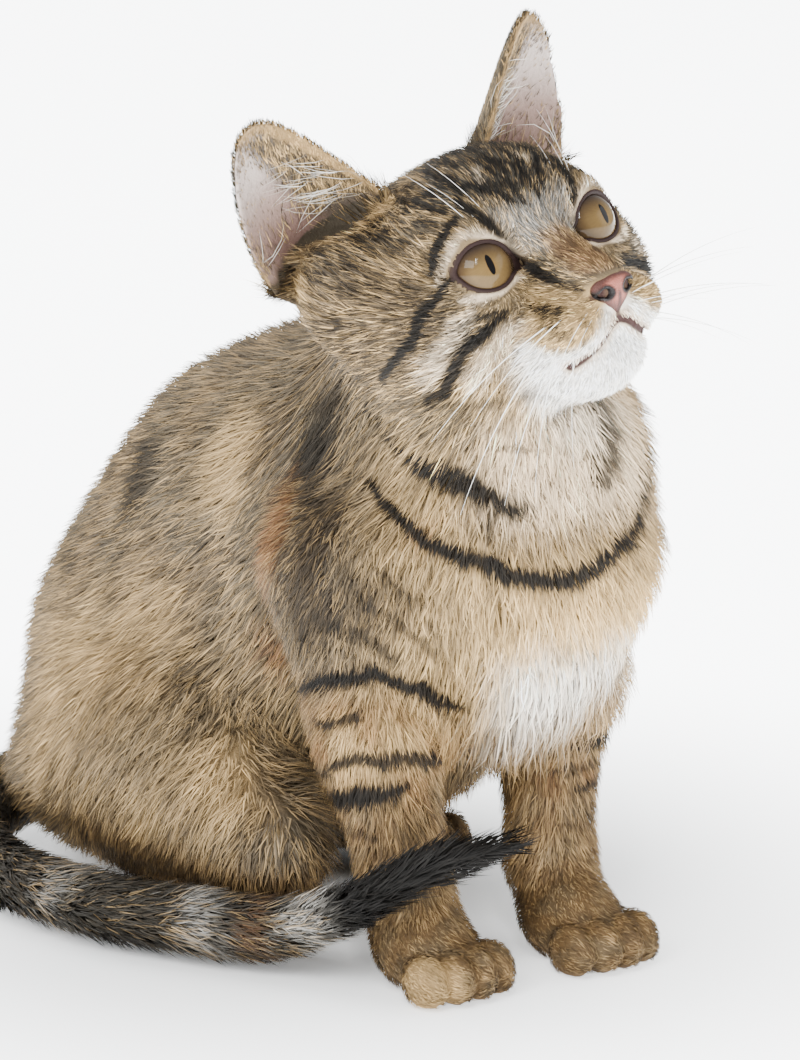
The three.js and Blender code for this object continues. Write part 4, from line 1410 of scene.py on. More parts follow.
def roots_on(mesh, density):
    """Random roots on a mesh: places, normals and coat map. `density` is per square mm at each vertex."""
    mesh.calc_loop_triangles()
    count = len(mesh.loop_triangles)
    corners, loops = [read(mesh.loop_triangles, key, 3, np.int32) for key in ("vertices", "loops")]
    points, normals = places(mesh), vertex_normals(mesh)
    flat = read(mesh.uv_layers["OFBake"].uv, "vector", 2)
    a, b, c = points[corners].transpose(1, 0, 2)
    area = np.linalg.norm(np.cross(b - a, c - a), axis=1) / 2
    chance = np.random.default_rng(7)
    wanted = area * density[corners].mean(1)
    numbers = np.floor(wanted + chance.random(count)).astype(int)
    face = np.repeat(np.arange(count), numbers)
    first, second = chance.random((2, len(face)))
    over = first + second > 1
    first[over], second[over] = 1 - first[over], 1 - second[over]
    parts = np.stack([1 - first - second, first, second], -1)[..., None]
    return (
        (points[corners[face]] * parts).sum(1),
        unit((normals[corners[face]] * parts).sum(1)),
        (flat[loops[face]] * parts).sum(1),
    )


def gathered(tips, lock_size, pull, chance):
    """Draws the tips of neighbouring hairs towards each other, as in locks."""
    leaders = chance.random(len(tips)) < 1 / lock_size
    tree = kdtree.KDTree(int(leaders.sum()))
    chosen = np.flatnonzero(leaders)
    for order, index in enumerate(chosen):
        tree.insert(tips[index], order)
    tree.balance()
    nearest = np.array([tree.find(tip)[1] for tip in tips.tolist()])
    return (tips[chosen[nearest]] - tips) * pull


def tuft_mesh(name, roots, ways, normals, length, rise, width, rings, colours, flat, chance, locks, clings):
    """Joins thin closed tufts into one piece: each runs from a point through `rings` rings to its tip."""
    pull, lock_size = locks
    count = len(roots)
    side = np.cross(normals, ways)
    sway = chance.normal(0, 0.2, count)[:, None]
    heading = unit(ways + side * sway)
    reach = np.sqrt(np.maximum(length**2 - rise**2, (0.5 * length) ** 2))[:, None]
    tips = roots + heading * reach + normals * rise[:, None]
    moved = gathered(tips, lock_size, pull, chance)
    curl = chance.normal(0, 0.06, count)[:, None] * length[:, None] * side
    shares = TUFT_SHARES[rings]
    lines = []
    for share in shares:
        along = roots + heading * reach * share
        height = rise[:, None] * risen(share) - ROOT_DEPTH * (share == 0)
        lines.append(along + normals * height + moved * share**1.5 + curl * math.sin(math.pi * share))
    if clings:
        lines = hug(lines, normals, rise, shares)
    total = rings * 3 + 2
    points, shade = np.empty((2, count, total, 3))
    tint = np.empty((count, total, 4))
    tint[..., 3] = chance.random((count, 1))
    points[:, 0], points[:, -1] = lines[0], lines[-1]
    tint[:, 0, :3], tint[:, -1, :3] = colours[:, 0], colours[:, -1]
    shade[:, 0] = shade[:, -1] = normals
    for ring in range(rings):
        half = (0.5 * width * (1 - 0.45 * ring / rings))[:, None]
        for corner, (across, above) in enumerate(((-1, -0.2), (1, -0.2), (0, 0.55))):
            away = side * across + normals * above
            points[:, ring * 3 + 1 + corner] = lines[ring + 1] + away * half
            shade[:, ring * 3 + 1 + corner] = unit(normals + ROUNDNESS * away)
        tint[:, ring * 3 + 1:ring * 3 + 4, :3] = colours[:, ring + 1, None]
    points[..., 2] = np.maximum(points[..., 2], FLOOR_GAP)
    triangles, quads = tuft_faces(rings)
    start = (np.arange(count) * total)[:, None, None]
    triangles, quads = (start + triangles).reshape(-1, 3), (start + quads).reshape(-1, 4)
    piece = new_mesh(name, points.reshape(-1, 3), triangles, quads)
    paint(piece.data, "coat", tint.reshape(-1, 4))
    own = np.full((total, 2), TUFT_MAP / 2)
    own[1:-1, 0] = np.tile([0, TUFT_MAP, TUFT_MAP / 2], rings)
    own[0, 1], own[-1, 1] = 0, TUFT_MAP
    own[1:-1, 1] = np.repeat(shares[1:-1], 3) * TUFT_MAP
    patch = (flat[:, None] * (1 - 2 * TUFT_MAP) + TUFT_MAP / 2 + own).reshape(-1, 2)
    layer = piece.data.uv_layers.new(name="OFBake")
    layer.data.foreach_set("uv", patch[corner_vertices(piece.data)].astype(np.float32).ravel())
    piece.data.shade_smooth()
    piece.data.normals_split_custom_set_from_vertices(shade.reshape(-1, 3))
    return piece


def tuft_faces(rings):
    """Faces of one tuft: from its root point, its three sides ring by ring, and to its tip."""
    steps = ((0, 1), (1, 2), (2, 0))
    last, tip = rings * 3 - 2, rings * 3 + 1
    triangles = [[0, 1 + j, 1 + i] for i, j in steps]
    triangles += [[last + i, last + j, tip] for i, j in steps]
    quads = []
    for ring in range(rings - 1):
        a = ring * 3 + 1
        quads += [[a + i, a + j, a + 3 + j, a + 3 + i] for i, j in steps]
    return np.array(triangles), np.array(quads, int).reshape(-1, 4)


HUG_MOST, HUG_REACH = 4, 6  # millimetres


def hug(lines, normals, rise, shares):
    """Keeps each point of a tuft at its own height over the skin, where the skin curves away."""
    kept = [lines[0]]
    for line, share in zip(lines[1:], shares[1:]):
        wanted = rise * risen(share)
        here = FLESH(line, 1)
        moved = np.clip(wanted - here, -HUG_MOST, HUG_MOST)[:, None]
        kept.append(line + normals * moved * (here < HUG_REACH)[:, None])
    return kept


# ---- how the coat grows


# Tufts' widths in millimetres and numbers per square millimetre: on the face and the skull, the trunk's
# sides and the chest, and the upper and the lower leg.
TUFT_WIDTHS = {"head": (0.25, 0.31), "trunk": (0.42, 0.40), "foreleg": (0.34, 0.28), "hindleg": (0.42, 0.3)}
TUFT_DENSITIES = {"head": (4.9, 2.7), "trunk": (1.62, 1.5), "foreleg": (2.35, 2.5), "hindleg": (1.42, 2.3)}
HANGING = 14  # millimetres, how much longer the hair is that hangs below the chest


def growth(spots, hair):
    """At each point of the skin: tufts per square millimetre, length, width and rise above the skin."""
    share, local, points = spots.share, spots.local, spots.points
    legs, hinds = spots.forelegs, spots.hindlegs
    back = smooth(-42, 4, local[:, 1])
    chest = smooth(20, -25, points[:, 1])
    low = smooth(34, 14, points[:, 2])
    cheek = smooth(-8, -22, local[:, 2]) * smooth(14, 30, np.abs(local[:, 0]))
    face_length = mix(hair.face, hair.head, back) * mix(0.4, 1, smooth(0.5, 7, spots.lid_gap))
    face_length = (face_length + 2.5 * cheek) * mix(0.5, 1, smooth(0.8, 5, lips_distance(local)))
    face_length = face_length + 3.0 * spots.beside_ears()
    leg_length = mix(hair.leg, hair.paw, low)
    thigh_length = mix(hair.body, hair.paw, low)
    trunk_length = mix(hair.body, hair.chest, chest)
    hanging = smooth(86, 68, points[:, 2]) * smooth(-12, -28, points[:, 1]) * share["trunk"]
    length = HANGING * hanging + (
        share["head"] * face_length + share["trunk"] * trunk_length
        + legs * leg_length + hinds * thigh_length
    )
    parts = (
        (share["head"], back, "head"), (share["trunk"], chest, "trunk"),
        (legs, low, "foreleg"), (hinds, low, "hindleg"),
    )
    width, density = [
        sum(part * mix(*table[name], where) for part, where, name in parts)
        for table in (TUFT_WIDTHS, TUFT_DENSITIES)
    ]
    rise = np.clip(spots.depth, 0.35, 9) + HANGING * hanging
    tail = spots.on_tail
    length[tail] = hair.tail * smooth(1.25, 0.75, spots.tail_share[tail] * 0.6)
    width[tail], density[tail], rise[tail] = 0.42, 2.1, TAIL_COAT * 0.85
    inside = spots.ear_inside()
    ear = spots.on_ear
    edge = smooth(0.7, 0.92, np.maximum(np.abs(spots.ear_u), spots.ear_v))
    medial = smooth(0.0, -0.5, spots.ear_u)
    foot = smooth(0.35, 0.1, spots.ear_v) * 4.0
    length[ear] = mix(hair.ear, mix(mix(2.2, 4.6, medial) + foot, 2.4, edge), inside)[ear]
    width[ear] = mix(0.28, 0.2, inside)[ear]
    density[ear] = mix(3.0, mix(mix(0.35, 4.2, medial), 4.0, edge), inside)[ear]
    rise[ear] = mix(0.9, 0.7, inside)[ear]
    density *= 1 - bare(spots)
    return density * hair.fullness, length, width, rise


def bare(spots):
    """1 where nothing grows: the eyes' openings, the leather, the lips' line and the floor side."""
    local = spots.local
    found = spots.lid_gap < 1.5
    found |= (nose_wedge(local, 0.1) < 0) & (local[:, 1] < -37)
    found |= (lips_distance(local) < 1.0) & (np.abs(local[:, 0]) < 12.5)
    found |= distance_to_line(local, PHILTRUM) < 0.7
    return found | (spots.points[:, 2] < 1.2) & (spots.normals[:, 2] < -0.3)


EAR_BACK, EAR_FRONT = -0.4, 0.8  # millimetres from the ear's middle sheet to its back and before its hollow


def crosses_ear(spots, tips):
    """True for hair rooted behind an ear that would come through it."""
    near = (tips.ear_v > -0.08) & (np.abs(tips.ear_u) < 1.15) & (np.abs(tips.ear_height) < 7)
    behind, through = spots.ear_height < EAR_BACK, tips.ear_height > EAR_FRONT
    return ~spots.on_ear & near & behind & through


def piece_names(spots):
    """The piece of the coat that each root belongs to."""
    local, points = spots.local, spots.points
    side, head_side = [
        np.where(right, "right", "left").astype(object) for right in (points[:, 0] < 2, local[:, 0] < 0)
    ]
    found = np.full(len(points), "coat_neck", object)
    trunk = spots.part == "trunk"
    found[trunk & (points[:, 1] < 12)] = "coat_chest"
    found[trunk & (points[:, 2] > 112) & (points[:, 1] < 12)] = "coat_neck"
    behind = trunk & (points[:, 1] >= 12)
    found[behind] = "coat_back_" + side[behind]
    low = behind & (points[:, 1] > 62)
    found[low] = "coat_rump_" + side[low]
    face = (spots.part == "head") & (local[:, 1] < -18)
    skull = (spots.part == "head") & ~face
    found[face] = "coat_face"
    found[skull] = "coat_head_" + head_side[skull]
    for part in ("foreleg_right", "foreleg_left", "hindleg_right", "hindleg_left"):
        chosen = spots.part == part
        found[chosen] = "coat_" + part
        if part.startswith("fore"):
            found[chosen & (points[:, 2] < 24)] = "coat_forepaw_" + part.split("_")[1]
    found[spots.part == "tail"] = "coat_tail"
    found[spots.part == "ear"] = "coat_ears"
    return found


# Each piece's rings along a tuft, how far tips are drawn to their lock's, and tufts to a lock.
COAT_PIECES = {
    "coat_face": (1, 0.15, 6),
    "coat_head_right": (1, 0.3, 6),
    "coat_head_left": (1, 0.3, 6),
    "coat_ears": (1, 0.2, 6),
    "coat_neck": (1, 0.45, 8),
    "coat_chest": (2, 0.5, 9),
    "coat_back_right": (1, 0.4, 8),
    "coat_back_left": (1, 0.4, 8),
    "coat_rump_right": (1, 0.4, 8),
    "coat_rump_left": (1, 0.4, 8),
    "coat_foreleg_right": (1, 0.35, 7),
    "coat_foreleg_left": (1, 0.35, 7),
    "coat_forepaw_right": (1, 0.2, 6),
    "coat_forepaw_left": (1, 0.2, 6),
    "coat_hindleg_right": (1, 0.4, 8),
    "coat_hindleg_left": (1, 0.4, 8),
    "coat_tail": (1, 0.35, 7),
}
GRIZZLE, GRIZZLE_HEAD = 0.18, 0.42  # how much tufts differ in lightness
LOOSE_PIECES = ("coat_ears", "coat_tail")  # their hair isn't held against the body
GROWN = {}  # the roots of all pieces, found once from the skin


FOLD_TURN = 1.6  # how far hair in the fold before an ear turns outwards
COLOUR_PLACES = {"middle": 0.45, "tip": 0.92}  # shares of a tuft where its colours are read


def grow_roots(skin, hair, tints):
    """Sows the roots over the whole skin and keeps what each piece needs."""
    whole = Places(places(skin.data), vertex_normals(skin.data))
    density = growth(whole, hair)[0]
    points, normals, flat = roots_on(skin.data, density)
    spots = Places(points, normals)
    kept = ~bare(spots)
    points, normals, flat = points[kept], normals[kept], flat[kept]
    spots = Places(points, normals)
    _, length, width, rise = growth(spots, hair)
    lie = spots.lie()
    outward = unit(spots.local) @ HEAD_TURN.T
    normals = unit(normals + FOLD_TURN * spots.before_ears()[:, None] * outward)
    tips = Places(points + lie * length[:, None] + normals * rise[:, None], normals)
    kept = ~crosses_ear(spots, tips)
    points, normals, flat, lie, length, width, rise = [
        value[kept] for value in (points, normals, flat, lie, length, width, rise)
    ]
    spots = Places(points, normals)
    GROWN.update(
        points=points, normals=normals, flat=flat, lie=lie, length=length, width=width, rise=rise,
        names=piece_names(spots),
    )
    fur = spots.ear_fur(tints, np.random.default_rng(4))
    for key, share in COLOUR_PLACES.items():
        seen = points + lie * (share * length)[:, None] + normals * (share * rise)[:, None]
        there = Places(seen, normals)
        there.on_ear, there.on_tail = np.zeros(len(points), bool), spots.on_tail
        colours = there.colours(tints, False)
        colours[spots.on_ear] = fur[spots.on_ear]
        GROWN[key] = colours


# the pale band is cream at the first share; a tuft's root is darkened by the second, as painted shade at the
# foot of the coat
BAND_SHADE, ROOT_PAINTED_SHADE = 0.62, 0.66


def ticked(points, middle, tip, rings, grizzle, chance, t):
    """Each tuft's colours from root to tip: a root darkened as painted shade, the marking, and a dark or
    pale tip.
    """
    count = len(tip)
    light = tip.mean(1)
    agouti = smooth(0.45, 0.2, light) * smooth(0.012, 0.05, light)
    mottle = 0.5 + 0.5 * waves(points, 6.5, 17) + 0.25 * waves(points, 2.8, 18)
    bright = np.exp(chance.normal(0, grizzle, count) + 0.4 * (mottle - 0.5))[:, None]
    kind = chance.random(count)
    pale = ((kind < 0.20 + 0.22 * mottle) * agouti * (0.3 + grizzle))[:, None]
    dark = ((kind > 0.58 + 0.30 * mottle) * agouti * (0.5 + grizzle))[:, None]
    band = t.cream * BAND_SHADE
    end = mix(mix(tip, band, pale), t.black, dark) * bright
    body = mix(mix(middle, band, 0.5 * pale), t.black, 0.35 * dark) * bright
    steps = [body * ROOT_PAINTED_SHADE, *[mix(body, end, 0.4 * ring) for ring in range(rings)], end]
    return np.clip(np.stack(steps, 1), 0, 1)


def grow_piece(name, tints):
    """One joined piece of the coat."""
    rings, *locks = COAT_PIECES[name]
    grizzle = GRIZZLE_HEAD if name.startswith(("coat_face", "coat_head")) else GRIZZLE
    chosen = GROWN["names"] == name
    part = {key: value[chosen] for key, value in GROWN.items()}
    chance = np.random.default_rng(sum(map(ord, name)))
    count = int(chosen.sum())
    length = part["length"] * chance.uniform(0.7, 1.15, count)
    rise = part["rise"] * chance.uniform(0.4, 0.98, count)
    width = part["width"] * chance.uniform(0.7, 1.3, count)
    colours = ticked(part["points"], part["middle"], part["tip"], rings, grizzle, chance, tints)
    return tuft_mesh(
        name, part["points"], part["lie"], part["normals"], length, np.minimum(rise, 0.75 * length), width,
        rings, colours, part["flat"], chance, locks, name not in LOOSE_PIECES,
    )


EAR_HAIR = {  # chances on each edge, and sizes in millimetres
    "medial": 0.075, "lateral": 0.05, "lengths": (7, 15), "width": 0.15, "rings": 2, "locks": (0.45, 6),
}


def ear_hair(tints):
    """The long pale hairs that cross each ear's hollow from its edges."""
    near = np.flatnonzero(GROWN["names"] == "coat_ears")
    spots = Places(GROWN["points"][near], GROWN["normals"][near])
    chance = np.random.default_rng(5)
    u, v = spots.ear_u, spots.ear_v
    inside = spots.on_ear & (spots.ear_inside() > 0.5)
    medial = smooth(-0.1, -0.7, u) * smooth(0.75, 0.4, v) * inside
    lateral = smooth(0.7, 0.95, u) * smooth(0.35, 0.1, v) * inside
    likely = EAR_HAIR["medial"] * medial**2 + EAR_HAIR["lateral"] * lateral
    chosen = np.flatnonzero(chance.random(len(likely)) < likely)
    count = len(chosen)
    ways = np.zeros((count, 3))
    for s in (-1, 1):
        _, along, across, _ = ear_frame(s)
        mine = spots.ear_side[chosen] == s
        turn = np.where(u[chosen] > 0.5, -0.8, 0.9)[mine, None]
        way = turn * unit(across) + (0.6 + 0.35 * chance.normal(size=(mine.sum(), 1))) * unit(along)
        ways[mine] = unit(way) @ HEAD_TURN.T
    normals = spots.normals[chosen]
    ways = unit(ways - (ways * normals).sum(1, keepdims=True) * normals)
    length = chance.uniform(*EAR_HAIR["lengths"], count)
    colours = mix(np.tile(tints.tan, (count, 1)), tints.white, 0.75 * chance.random((count, 1)))
    # each hair's root is 0.7 as bright as the rest, as painted shade at its foot
    colours = np.stack([colours * 0.7, colours, colours, colours], 1)
    return tuft_mesh(
        "ear_hair", spots.points[chosen], ways, normals, length, length * chance.uniform(0.15, 0.45, count),
        np.full(count, EAR_HAIR["width"]), EAR_HAIR["rings"], colours, GROWN["flat"][near][chosen], chance,
        EAR_HAIR["locks"], False,
    )


# ---- nodes and materials


def add_node(tree, kind, inputs=None, **settings):
    """A node with its settings, and with inputs that are linked from sockets or set to plain values."""
    made = tree.nodes.new(kind)
    for key, value in settings.items():
        setattr(made, key, value)
    for key, value in (inputs or {}).items():
        if isinstance(value, bpy.types.NodeSocket):
            tree.links.new(value, made.inputs[key])
        else:
            made.inputs[key].default_value = value
    return made


def calculate(operation, *values):
    """A mathematical node on plain numbers and sockets, in the tree of the first socket."""
    tree = next(value for value in values if isinstance(value, bpy.types.NodeSocket)).id_data
    return add_node(tree, "ShaderNodeMath", dict(enumerate(values)), operation=operation).outputs[0]


def times(first, second):
    return calculate("MULTIPLY", first, second)


def length_of(first, second):
    return calculate("SQRT", calculate("ADD", times(first, first), times(second, second)))


def degrees(first, second):
    return times(calculate("ARCTAN2", first, second), 180 / math.pi)


def eased(value, start, end, most=1.0):
    """From 0 where a value is at `start` to `most` where it is at `end`."""
    inputs = {"Value": value, "From Min": start, "From Max": end, "To Min": 0.0, "To Max": most}
    made = add_node(value.id_data, "ShaderNodeMapRange", inputs, interpolation_type="SMOOTHSTEP")
    return made.outputs["Result"]


def noise(place, scale, detail):
    inputs = {"Vector": place, "Scale": scale, "Detail": detail}
    return add_node(place.id_data, "ShaderNodeTexNoise", inputs).outputs["Fac"]


def vector_of(*values):
    """One vector from three sockets or plain numbers, at least one of them a socket."""
    tree = next(value for value in values if isinstance(value, bpy.types.NodeSocket)).id_data
    return add_node(tree, "ShaderNodeCombineXYZ", dict(enumerate(values))).outputs[0]


def ramp(value, stops):
    """Colours along a value: stops are [position, linear colour]."""
    made = add_node(value.id_data, "ShaderNodeValToRGB", {"Fac": value})
    elements = made.color_ramp.elements
    while len(elements) < len(stops):
        elements.new(1.0)
    for element, (position, colour) in zip(elements, stops):
        element.position = position
        element.color = (*colour, 1)
    return made.outputs["Color"]


MIX_FIRST, MIX_SECOND, MIX_RESULT = 6, 7, 2  # the mix node's colour sockets


def mixed(share, first, second):
    """The first colour, with a share of a plain second one over it."""
    inputs = {"Factor": share, MIX_FIRST: first, MIX_SECOND: (*second, 1)}
    return add_node(share.id_data, "ShaderNodeMix", inputs, data_type="RGBA").outputs[MIX_RESULT]


def own_place(material):
    return add_node(material.node_tree, "ShaderNodeTexCoord").outputs["Object"]


def shader_of(material):
    return material.node_tree.nodes["Principled BSDF"]


def feed(material, name, source):
    """Links a socket to an input of a material's shader."""
    material.node_tree.links.new(source, shader_of(material).inputs[name])


def new_material(name, colour=(0.5, 0.5, 0.5), **inputs):
    """A surface with its plain values set on the shader's own sockets."""
    material = bpy.data.materials.new(name)
    material.use_nodes = True
    inputs["base_color"] = (*colour, 1)
    for key, value in inputs.items():
        shader_of(material).inputs[key.replace("_", " ").title().replace("Ior", "IOR")].default_value = value
    return material


def painted(name, **inputs):
    """A material whose colour is the mesh's own paint."""
    material = new_material(name, **inputs)
    colour = add_node(material.node_tree, "ShaderNodeVertexColor", layer_name="coat")
    feed(material, "Base Color", colour.outputs["Color"])
    return material


def add_bump(material, scale, height, detail=3.0):
    """Fine relief from noise in the object's own place."""
    inputs = {"Strength": 1.0, "Distance": height, "Height": noise(own_place(material), scale, detail)}
    feed(material, "Normal", add_node(material.node_tree, "ShaderNodeBump", inputs).outputs["Normal"])


# ---- dark strokes in the fur's materials

CHART_START, CHART_SPAN = np.array([-110.0, -60.0]), 220.0  # a chart's corner and width: 0 to 1 in nodes
HALF_SCALE = 10  # how a stroke's half width is stored in a colour, about 0.5
STROKE_STOPS = 11


def stroke_nodes(chart, line, width, strength):
    """A tapering stroke of a chart: a ramp along its longer way holds its middle and its half width."""
    line = (np.array(line, float) - CHART_START) / CHART_SPAN
    width = width / CHART_SPAN
    way = int(np.ptp(line[:, 1]) > np.ptp(line[:, 0]))
    line = line[np.argsort(line[:, way])]
    spots = np.linspace(line[0, way], line[-1, way], STROKE_STOPS)
    middles = np.interp(spots, line[:, way], line[:, 1 - way])
    shares = np.interp(spots, line[:, way], np.linspace(0, 1, len(line)))
    halves = width * tapered(shares)
    halves *= np.hypot(1, np.gradient(middles, spots))
    spots = [spots[0] - width, *spots, spots[-1] + width]
    middles = [middles[0], *middles, middles[-1]]
    halves = [-width, *halves, -width]
    stops = [
        [spot, (middle, 0.5 + HALF_SCALE * half, 0)] for spot, middle, half in zip(spots, middles, halves)
    ]
    held = add_node(chart[0].id_data, "ShaderNodeSeparateColor", {0: ramp(chart[way], stops)}).outputs
    away = calculate("ABSOLUTE", calculate("SUBTRACT", chart[1 - way], held[0]))
    half = calculate("MULTIPLY_ADD", held[1], 1 / HALF_SCALE, -0.5 / HALF_SCALE)
    return eased(calculate("SUBTRACT", half, away), -0.5 * width, 0.5 * width, strength)


CHART_NOISE = 120.0  # scale of the noise that shakes a chart
SHAKE_TUFT, SHAKE_PLACE = 2.0, 5.0  # degrees, from tuft to tuft and from place to place


def charted(material, first, second):
    """Both ways of a chart laid out from 0 to 1, shaken a little by tuft and by place."""
    luck = add_node(material.node_tree, "ShaderNodeVertexColor", layer_name="coat").outputs["Alpha"]
    patch = noise(own_place(material), CHART_NOISE, 1.0)
    other = calculate("FRACT", times(luck, 13.0))
    chart = []
    for value, shake, start in ((first, luck, CHART_START[0]), (second, other, CHART_START[1])):
        shaken = calculate("MULTIPLY_ADD", calculate("SUBTRACT", shake, 0.5), SHAKE_TUFT, value)
        shaken = calculate("MULTIPLY_ADD", patch, SHAKE_PLACE, shaken)
        offset = (-0.5 * SHAKE_PLACE - start) / CHART_SPAN
        chart.append(calculate("MULTIPLY_ADD", shaken, 1 / CHART_SPAN, offset))
    return chart


def own_frame(material, centre, turn):
    """Object coordinates in millimetres from a centre of the kitten's frame, along a turned frame's axes."""
    tree = material.node_tree
    inputs = {0: own_place(material), 1: (centre + SHIFT) * MM}
    moved = add_node(tree, "ShaderNodeVectorMath", inputs, operation="SUBTRACT").outputs[0]
    return [
        add_node(tree, "ShaderNodeVectorMath", {0: moved, 1: axis / MM}, operation="DOT_PRODUCT").outputs[1]
        for axis in turn.T
    ]


def fur_material(name, tints, strokes=(), on_head=False):
    """Fur: each tuft's own colours, under dark strokes laid out on the chart of the head or of the body."""
    material = painted(name, roughness=0.6, specular_ior_level=0.16)
    if not strokes:
        return material
    if on_head:
        x, y, z = own_frame(material, HEAD_CENTRE, HEAD_TURN)
        level = length_of(x, y)
        across = degrees(calculate("ABSOLUTE", x), times(y, -1.0))
        height = degrees(z, level)
    else:
        x, y, height = own_frame(material, np.array([*CHEST_AXIS, 0.0]), np.eye(3))
        across = degrees(x, times(y, -1.0))
    chart = charted(material, across, height)
    dark = None
    for line, width, strength in strokes:
        cover = stroke_nodes(chart, line, width, strength)
        dark = calculate("MAXIMUM", dark, cover) if dark else cover
    if on_head:
        dark = calculate("MAXIMUM", dark, head_streaks((x, y, z), across, height))
    own = shader_of(material).inputs["Base Color"].links[0].from_socket
    feed(material, "Base Color", mixed(times(dark, 0.98), own, tints.black))
    return material


STREAK_SQUEEZE = (1.0, 0.3, 0.45)  # streaks are drawn out most from front to back


def head_streaks(local, across, height):
    """Fine dark streaks drawn out along the head: strong over the crown, weaker on cheeks and brow."""
    stretched = vector_of(*[times(value, squeeze) for value, squeeze in zip(local, STREAK_SQUEEZE)])
    streaks = eased(noise(stretched, 0.42, 2.0), 0.46, 0.57, 0.92)
    crown = times(eased(height, 18, 36), eased(across, 150, 95))
    cheek = times(eased(height, -26, -12), eased(across, 26, 46))
    return times(streaks, calculate("MAXIMUM", crown, times(cheek, 0.65)))


# ---- the eye's material

IRIS_STOPS = {  # share of the eyeball's radius: a colour of the eyes' settings, or a fixed one
    0.0: (110, 84, 46),
    0.22: "inner",
    0.5: "iris",
    0.66: "outer",
    0.74: (52, 38, 24),
    0.80: (26, 19, 16),
}
FLECKS, LID_SHADE, PUPIL = (74, 58, 38), (40, 31, 25), (8, 7, 8)


def eye_material(eyes):
    """A hazel iris round an upright slit, under a wet surface; reads the eye's own map."""
    material = new_material("eye", roughness=0.02, specular_ior_level=0.14)
    gaze = add_node(material.node_tree, "ShaderNodeUVMap", uv_map="gaze").outputs["UV"]
    place = add_node(material.node_tree, "ShaderNodeSeparateXYZ", {0: gaze}).outputs
    across, up = [times(calculate("SUBTRACT", place[way], 0.5), 1 / GAZE_SCALE) for way in ("X", "Y")]
    radius = length_of(across, up)
    angle = calculate("ARCTAN2", up, across)
    spokes = vector_of(calculate("COSINE", angle), calculate("SINE", angle), times(radius, 0.06))
    fibres = times(noise(spokes, 9.0, 5.0), 0.75)
    rings = ramp(calculate("DIVIDE", radius, EYE_RADIUS), [
        [at, getattr(eyes, tint) if isinstance(tint, str) else linear(*tint)]
        for at, tint in IRIS_STOPS.items()
    ])
    flecked = mixed(fibres, rings, linear(*FLECKS))
    slit = length_of(
        calculate("DIVIDE", across, eyes.slit_width / 2 / MM),
        calculate("DIVIDE", up, eyes.slit_height / 2 / MM),
    )
    black = ramp(slit, [[0.88, (1, 1, 1)], [1.0, (0, 0, 0)]])
    upper = ramp(calculate("DIVIDE", up, EYE_RADIUS), [[0.02, (0, 0, 0)], [0.5, (1, 1, 1)]])
    shaded = mixed(upper, flecked, linear(*LID_SHADE))
    feed(material, "Base Color", mixed(black, shaded, linear(*PUPIL)))
    return material


# ---- whiskers


def whisker_tree(material):
    """Geometry nodes: a tapered bent hair on each point, turned and sized by the point's attributes."""
    tree = bpy.data.node_groups.new("whiskers", "GeometryNodeTree")
    interface = tree.interface
    interface.new_socket("Roots", in_out="INPUT", socket_type="NodeSocketGeometry")
    for label, value in (("Thickness", 0.0042), ("Bend", WHISKER_BEND)):
        socket = interface.new_socket(label, in_out="INPUT", socket_type="NodeSocketFloat")
        socket.default_value = value
    interface.new_socket("Whiskers", in_out="OUTPUT", socket_type="NodeSocketGeometry")

    def add(kind, output, inputs=None, **settings):
        return add_node(tree, kind, inputs, **settings).outputs[output]

    given = add_node(tree, "NodeGroupInput").outputs
    middle = add("ShaderNodeCombineXYZ", 0, {2: 0.5})
    end = add("ShaderNodeCombineXYZ", 0, {0: given["Bend"], 2: 0.96})
    bend = {"Resolution": 9, "Start": (0, 0, 0), "Middle": middle, "End": end}
    line = add("GeometryNodeCurveQuadraticBezier", "Curve", bend)
    along = add("GeometryNodeSplineParameter", "Factor")
    taper = add("ShaderNodeMapRange", "Result", {"To Min": 1.0, "To Max": 0.12, "Value": along})
    thick = add("ShaderNodeMath", 0, {0: taper, 1: given["Thickness"]}, operation="MULTIPLY")
    ring = add("GeometryNodeCurvePrimitiveCircle", "Curve", {"Resolution": 5, "Radius": 1.0}, mode="RADIUS")
    hair = {"Fill Caps": True, "Curve": line, "Profile Curve": ring, "Scale": thick}
    hair = add("GeometryNodeCurveToMesh", "Mesh", hair)
    turn, size = [
        add("GeometryNodeInputNamedAttribute", "Attribute", {"Name": name}, data_type=kind)
        for name, kind in (("turn", "FLOAT_VECTOR"), ("length", "FLOAT"))
    ]
    placed = {"Points": given["Roots"], "Instance": hair, "Rotation": turn, "Scale": size}
    placed = add("GeometryNodeInstanceOnPoints", "Instances", placed)
    real = add("GeometryNodeRealizeInstances", "Geometry", {"Geometry": placed})
    coloured = add("GeometryNodeSetMaterial", "Geometry", {"Material": material, "Geometry": real})
    add_node(tree, "NodeGroupOutput", {0: coloured})
    return tree


# Each side's rows of whiskers: direction (head's frame) and length in mm, of its first and its last whisker.
WHISKER_FANS = {
    -1: (
        ([-0.80, -0.10, -0.40], 20, [-0.95, 0.25, -0.15], 42),
        ([-0.55, -0.15, -0.80], 24, [-0.86, 0.21, -0.46], 46),
        ([-0.30, -0.15, -0.90], 20, [-0.68, 0.05, -0.73], 38),
    ),
    1: (
        ([0.80, -0.40, 0.10], 18, [0.99, -0.13, 0.14], 38),
        ([0.80, -0.40, -0.15], 22, [0.98, -0.15, -0.08], 40),
        ([0.70, -0.35, -0.50], 18, [0.90, -0.12, -0.36], 32),
    ),
}
BROW_WHISKERS = ([12.0, -25, 13], [15.0, -25, 12], [17.0, -24, 13])  # roots over the left eye
WHISKER_BEND = 0.18  # how far a tip bends aside, as a share of the length
WHISKER_DROOP, BROW_BEND = np.array([0, 0.35, -1.0]), np.array([0, 1.0, -0.3])
WHISKER_ROOM = 4.0  # millimetres that a whisker may reach past the solids' box
WHISKER_LEAST = 12  # millimetres, a whisker this short isn't shortened further


